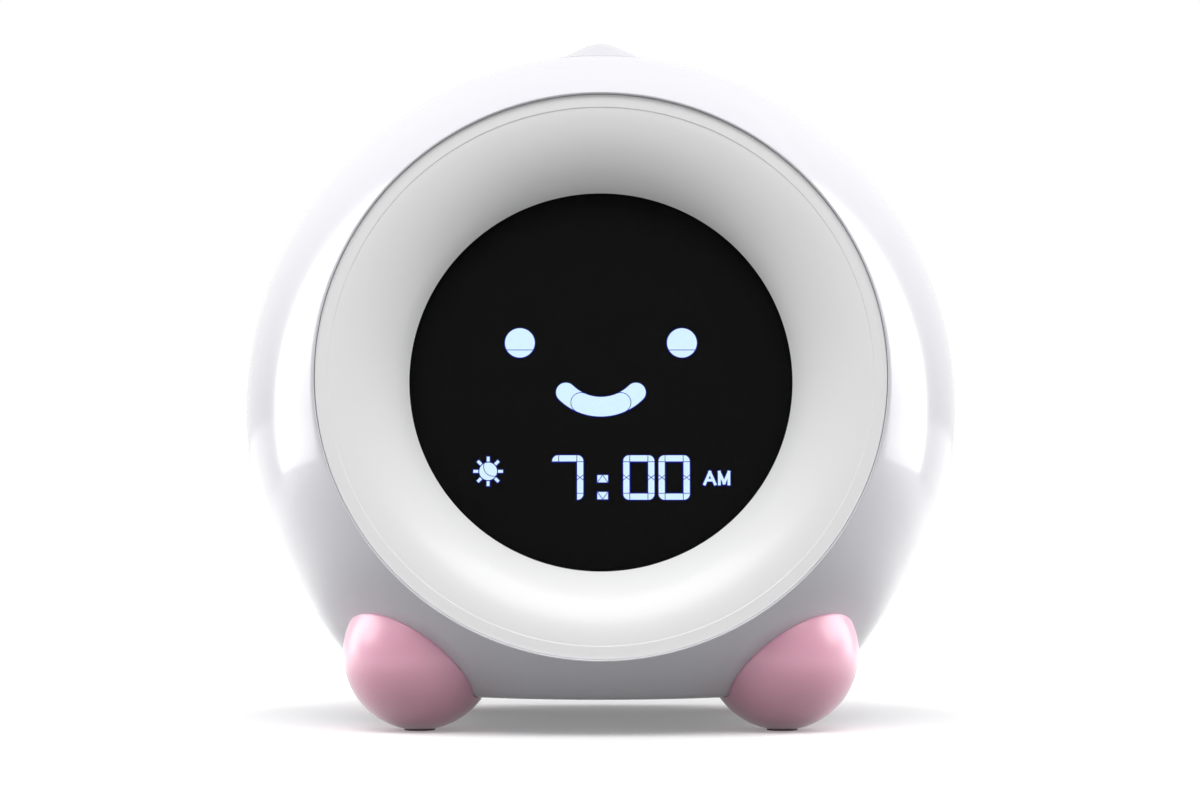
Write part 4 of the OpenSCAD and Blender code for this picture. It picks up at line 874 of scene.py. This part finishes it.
class CLOCK_OT_top_button(Builder, bpy.types.Operator):
    """Top button: a bell curve, half its height times 1 - cos(pi r / R), over a skirt, flange and stem"""

    bl_idname = "clock.top_button"
    bl_label = "Top button"

    def build(self, s):
        f, slope = 0.3 * MM, 68
        r = np.linspace(0, s.knob_radius - f, 40)
        bell = np.stack([r, s.knob_tip - s.knob_drop * (1 - np.cos(math.pi * r / s.knob_bell)) / 2], axis=-1)
        profile = np.vstack([
            bell, arc((s.knob_radius - f, bell[-1, 1] - f), f, slope, 0, 6),
            push_profile(s.knob_radius, flange=78.06 * MM, proud=1.8 * MM, thick=1.6 * MM, stem=3 * MM,
                         end=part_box("top_button")[0].z - BALL[2])])
        points = revolve(profile, [1, 0, 0], [0, 1, 0], [0, 0, 1], 160)
        # The button wears the casing's white with painted shade, darkened to 0.92
        make_piece("top_button_surface", [grid(points)], "top_button", "shell_white", ["top_button"],
                   finish="knob_shaded_white")


class CLOCK_OT_button_spring(Builder, bpy.types.Operator):
    """Return spring of the top button: round wire wound on a helix, with rounded ends."""

    bl_idname = "clock.button_spring"
    bl_label = "Button spring"

    def build(self, s):
        low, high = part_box("button_spring")
        length = high.z - low.z
        wire, turns = 0.25 * MM, 6
        radius = (high.x - low.x) / 2 - wire
        a = np.linspace(0, turns * TAU, 260)
        span = length - 2 * wire
        height = low.z + wire + span * a / a[-1]
        centre = np.stack([radius * np.cos(a), radius * np.sin(a), height], axis=-1)
        climb = np.full_like(a, span / a[-1])
        along = unit(np.stack([-radius * np.sin(a), radius * np.cos(a), climb], axis=-1))
        outward = np.stack([np.cos(a), np.sin(a), np.zeros_like(a)], axis=-1)
        across = np.cross(along, outward)
        b = np.arange(16) * TAU / 16
        turn = outward[:, None] * np.cos(b)[:, None] + across[:, None] * np.sin(b)[:, None]
        body = centre[:, None] + wire * turn
        q = np.linspace(math.pi / 2, 0, 6)[1:, None, None]
        head = centre[-1] + wire * (np.sin(q) * turn[-1] + np.cos(q) * along[-1])
        tail = centre[0] + wire * (np.sin(q) * turn[0] - np.cos(q) * along[0])
        points = np.concatenate([tail[::-1], body, head])
        middle = np.array([(low.x + high.x) / 2, (low.y + high.y) / 2, 0])
        piece = make_piece("button_spring_coil", [grid(points)], "case", "steel", ["button_spring"],
                           origin=middle)
        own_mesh(piece)


class CLOCK_OT_feet(Builder, bpy.types.Operator):
    """Feet: part balls cut by the casing and by the floor, with rounded cut edges. Each is a polar
    grid about the outward axis, and each meridian ends where it enters the casing."""

    bl_idname = "clock.feet"
    bl_label = "Feet"

    def build(self, s):
        # Places of the feet and radii of their balls, in millimetres
        feet = {"front_foot_left": (-40.2, -36.5, 17), "front_foot_right": (40.2, -36.5, 17),
                "rear_foot_left": (-40, 22, 11), "rear_foot_right": (40, 22, 11)}
        for name, (x, y, r) in feet.items():
            centre = np.array([x * MM, y * MM, r * MM - BALL[2]])
            self.foot(s, name, centre, r * MM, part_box(name)[0].z - BALL[2])

    def foot(self, s, name, centre, radius, bottom):
        seat_gap, f, steps = 0.05 * MM, 0.4 * MM, 720
        flatten = 0.55  # turns the axis from the ball's middle to the foot's towards the level
        axis = unit(centre * [1, 1, flatten])
        side = unit(np.cross(axis, [0, 0, 1.0]))
        up = np.cross(side, axis)
        a = np.arange(180) * TAU / 180
        turn = np.cos(a)[:, None] * side + np.sin(a)[:, None] * up

        def ball(b):
            """Middle + radius (cos b axis + sin b turn), where b is the angle from the axis"""
            return centre + radius * (np.cos(b) * axis + np.sin(b) * turn)

        p = ball(np.linspace(0, math.pi, steps + 1)[:, None, None])
        in_ball = np.linalg.norm(p, axis=-1) < s.ball_radius + seat_gap
        covered = in_ball & (p[..., 2] > -s.floor_drop - seat_gap)
        end = np.where(covered.any(axis=0), covered.argmax(axis=0), steps) * math.pi / steps - f / radius
        rows = [ball((np.linspace(0, 1, 60)[:, None] * end)[..., None])]
        # A quarter round leads from the last ring to the casing
        last = rows[0][-1]
        seat = unit(last) * (casing_reach(unit(last), s)[:, None] + seat_gap)
        inward, pull = unit(seat - last + 1e-9), unit(centre - last)
        for q in np.linspace(0, math.pi / 2, 6)[1:]:
            rows.append((last + f * math.sin(q) * inward + f * (1 - math.cos(q)) * pull)[None])
        # The covered side follows the casing to one point
        edge = rows[-1][0]
        hub = unit(edge.mean(axis=0))
        proud = np.linalg.norm(edge, axis=-1) - casing_reach(unit(edge), s)
        for w in np.linspace(0, 1, 16)[1:]:
            d = unit((1 - w) * unit(edge) + w * hub)
            reach = casing_reach(d, s) + np.maximum((1 - w) ** 8 * proud, seat_gap)
            rows.append((d * reach[:, None])[None])
        points = np.concatenate(rows)
        points[..., 2] = np.maximum(points[..., 2], bottom)
        make_piece(name + "_surface", [grid(points)], "case", "foot_pink", [name])


class CLOCK_OT_keys(Builder, bpy.types.Operator):
    """Eight rear keys: low domes with rounded edges, on flanged stems"""

    bl_idname = "clock.keys"
    bl_label = "Keys"

    def build(self, s):
        names = ("hour_key", "minute_key", "alarm_key", "nap_key", "light_key", "sound_key",
                 "volume_down_key", "volume_up_key")
        top = s.back_depth + s.key_proud
        dome, f, slope = 14 * MM, 0.35 * MM, 72
        flange = s.back_depth - s.wall - s.part_gap
        r = np.linspace(0, s.key_radius - f, 20)
        face = np.stack([r, top - dome + np.sqrt(dome ** 2 - r ** 2)], axis=-1)
        for name in names:
            low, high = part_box(name)
            profile = np.vstack([
                face, arc((s.key_radius - f, face[-1, 1] - f), f, slope, 0, 6),
                push_profile(s.key_radius, flange, proud=1.1 * MM, thick=1.2 * MM, stem=1.75 * MM,
                             end=low.y - BALL[1])])
            middle = ((low.x + high.x) / 2, 0, (low.z + high.z) / 2 - BALL[2])
            points = revolve(profile, [1, 0, 0], [0, 0, 1], [0, 1, 0], 96, middle)
            make_piece(name + "_surface", [grid(points)], name, "key_pink", [name])


class CLOCK_OT_stage(Builder, bpy.types.Operator):
    """Pale floor, white surroundings, softboxes and the camera of the photograph"""

    bl_idname = "clock.stage"
    bl_label = "Stage"

    def build(self, s):
        g = bpy.context.scene.clock_stage
        self.floor()
        self.world()
        feet = bpy.data.collections.new("feet")
        for piece in bpy.context.scene.objects:
            if "_foot_" in piece.name and piece.name.endswith("_surface"):
                feet.objects.link(piece)
        y = BALL[1]
        for side, sign in (("left", -1), ("right", 1)):
            self.softbox("side_softbox_" + side, g.side_glow, size=(0.155, 0.445),
                         place=(sign * 0.365, y + 0.105, 0.2275), target=(0, y, 0.2275))
            lamp = self.softbox("foot_softbox_" + side, g.foot_glow, size=(0.12, 0.12),
                                place=(sign * 0.26, y - 0.06, 0.12), target=(sign * 0.045, y - 0.035, 0.015))
            lamp.light_linking.receiver_collection = feet
        self.softbox("top_softbox", g.top_glow, size=(0.9, 0.5), place=(0, y - 0.425, 0.81), target=BALL)
        self.camera(g)
        bpy.context.scene.view_settings.view_transform = "Standard"

    def camera(self, g):
        camera = bpy.data.cameras.new("camera")
        camera.sensor_width = 36
        camera.lens = g.lens
        camera.clip_start, camera.clip_end = 0.05, 20
        eye = bpy.data.objects.new("camera", camera)
        eye.location = (-0.0002, BALL[1] - g.distance, g.eye_height)
        eye.rotation_euler = Euler((math.pi / 2 + g.look_up, 0, 0))
        bpy.context.scene.collection.objects.link(eye)
        bpy.context.scene.camera = eye

    def softbox(self, name, power, size, place, target):
        lamp = bpy.data.lights.new(name, "AREA")
        lamp.shape = "RECTANGLE"
        lamp.size, lamp.size_y = size
        lamp.energy = power
        box = bpy.data.objects.new(name, lamp)
        box.location = place
        box.rotation_euler = (Vector(target) - Vector(place)).to_track_quat("-Z", "Y").to_euler()
        box.visible_camera = False
        bpy.context.scene.collection.objects.link(box)
        return box

    def world(self):
        """Lights the object most from the sides, and is mirrored white above and grey below"""
        world = bpy.data.worlds.new("surroundings")
        kit = NodeKit(world, "Generated")
        paths = kit.node("ShaderNodeLightPath").outputs
        diffuse, glossy = (Value(kit, paths[name]) for name in ("Is Diffuse Ray", "Is Glossy Ray"))
        lighting = 0.45 + kit.axis("X").math("ABSOLUTE").band(0.5, 0.95) * 0.4
        mirrored = 0.3 + kit.axis("Z").band(-0.3, 0.0) * 0.65
        strength = 1 + diffuse * (lighting - 1) + glossy * (mirrored - 1)
        back = kit.node("ShaderNodeBackground", {}, {"Color": (1, 1, 1, 1), "Strength": strength})
        kit.node("ShaderNodeOutputWorld", {}, {"Surface": back.outputs[0]})
        bpy.context.scene.world = world

    def floor(self):
        """Shows white with the object's shadow to the camera, and stays dim to the light it returns. Its glow
        is painted light: weak within 8 cm of the middle and strong beyond 15 cm, so shade shows only round
        the object
        """
        size = 3.0
        mesh = bpy.data.meshes.new("floor")
        corners = [(-size, -size, 0), (size, -size, 0), (size, size, 0), (-size, size, 0)]
        mesh.from_pydata(corners, [], [(0, 1, 2, 3)])
        material = bpy.data.materials.new("pale_floor")
        kit = NodeKit(material)
        paths = kit.node("ShaderNodeLightPath").outputs
        tone = kit.blend(kit.noise(60.0, 3.0), (0.79, 0.79, 0.795), (0.83, 0.83, 0.835))
        paper = kit.node("ShaderNodeBsdfDiffuse", {}, {"Color": tone})
        # Painted light: the glow grows from 0.2 near the middle to 1.06 beyond 15 cm, which washes shade out
        # away from the object and leaves a darker floor round it
        distance = kit.node("ShaderNodeVectorMath", {"operation": "LENGTH"}, {0: kit.place})
        strength = 0.2 + Value(kit, distance.outputs["Value"]).band(0.08, 0.15) * 0.86
        glow = kit.node("ShaderNodeEmission", {}, {"Color": (1, 1, 1, 1), "Strength": strength})
        seen = kit.node("ShaderNodeAddShader", {}, {0: paper.outputs[0], 1: glow.outputs[0]})
        dim = kit.node("ShaderNodeBsdfDiffuse", {}, {"Color": (0.2, 0.2, 0.2, 1)})
        mix = kit.node("ShaderNodeMixShader", {},
                       {0: paths["Is Diffuse Ray"], 1: seen.outputs[0], 2: dim.outputs[0]})
        kit.node("ShaderNodeOutputMaterial", {}, {"Surface": mix.outputs[0]})
        mesh.materials.append(material)
        floor = bpy.data.objects.new("floor", mesh)
        bpy.context.scene.collection.objects.link(floor)


OPERATORS = (CLOCK_OT_finishes, CLOCK_OT_front_shell, CLOCK_OT_rear_shell, CLOCK_OT_light_ring,
             CLOCK_OT_window, CLOCK_OT_top_button, CLOCK_OT_button_spring, CLOCK_OT_feet, CLOCK_OT_keys,
             CLOCK_OT_stage)


class CLOCK_PT_sidebar(bpy.types.Panel):
    """Sizes, colours, stage settings and the building steps"""

    bl_idname = "CLOCK_PT_sidebar"
    bl_label = "Alarm Clock"
    bl_space_type = "VIEW_3D"
    bl_region_type = "UI"
    bl_category = "Alarm Clock"

    def draw(self, context):
        for name, group in GROUPS.items():
            box = self.layout.box()
            for key in group.__annotations__:
                box.prop(getattr(context.scene, name), key)
        for operator in OPERATORS:
            self.layout.operator(operator.bl_idname)


CLASSES = (*GROUPS.values(), *OPERATORS, CLOCK_PT_sidebar)


def register():
    for item in CLASSES:
        bpy.utils.register_class(item)
    for name, group in GROUPS.items():
        setattr(bpy.types.Scene, name, bpy.props.PointerProperty(type=group))


def unregister():
    for name in GROUPS:
        delattr(bpy.types.Scene, name)
    for item in reversed(CLASSES):
        bpy.utils.unregister_class(item)


def main():
    register()
    for operator in OPERATORS:
        group, name = operator.bl_idname.split(".")
        getattr(getattr(bpy.ops, group), name)()


if __name__ == "__main__":
    main()
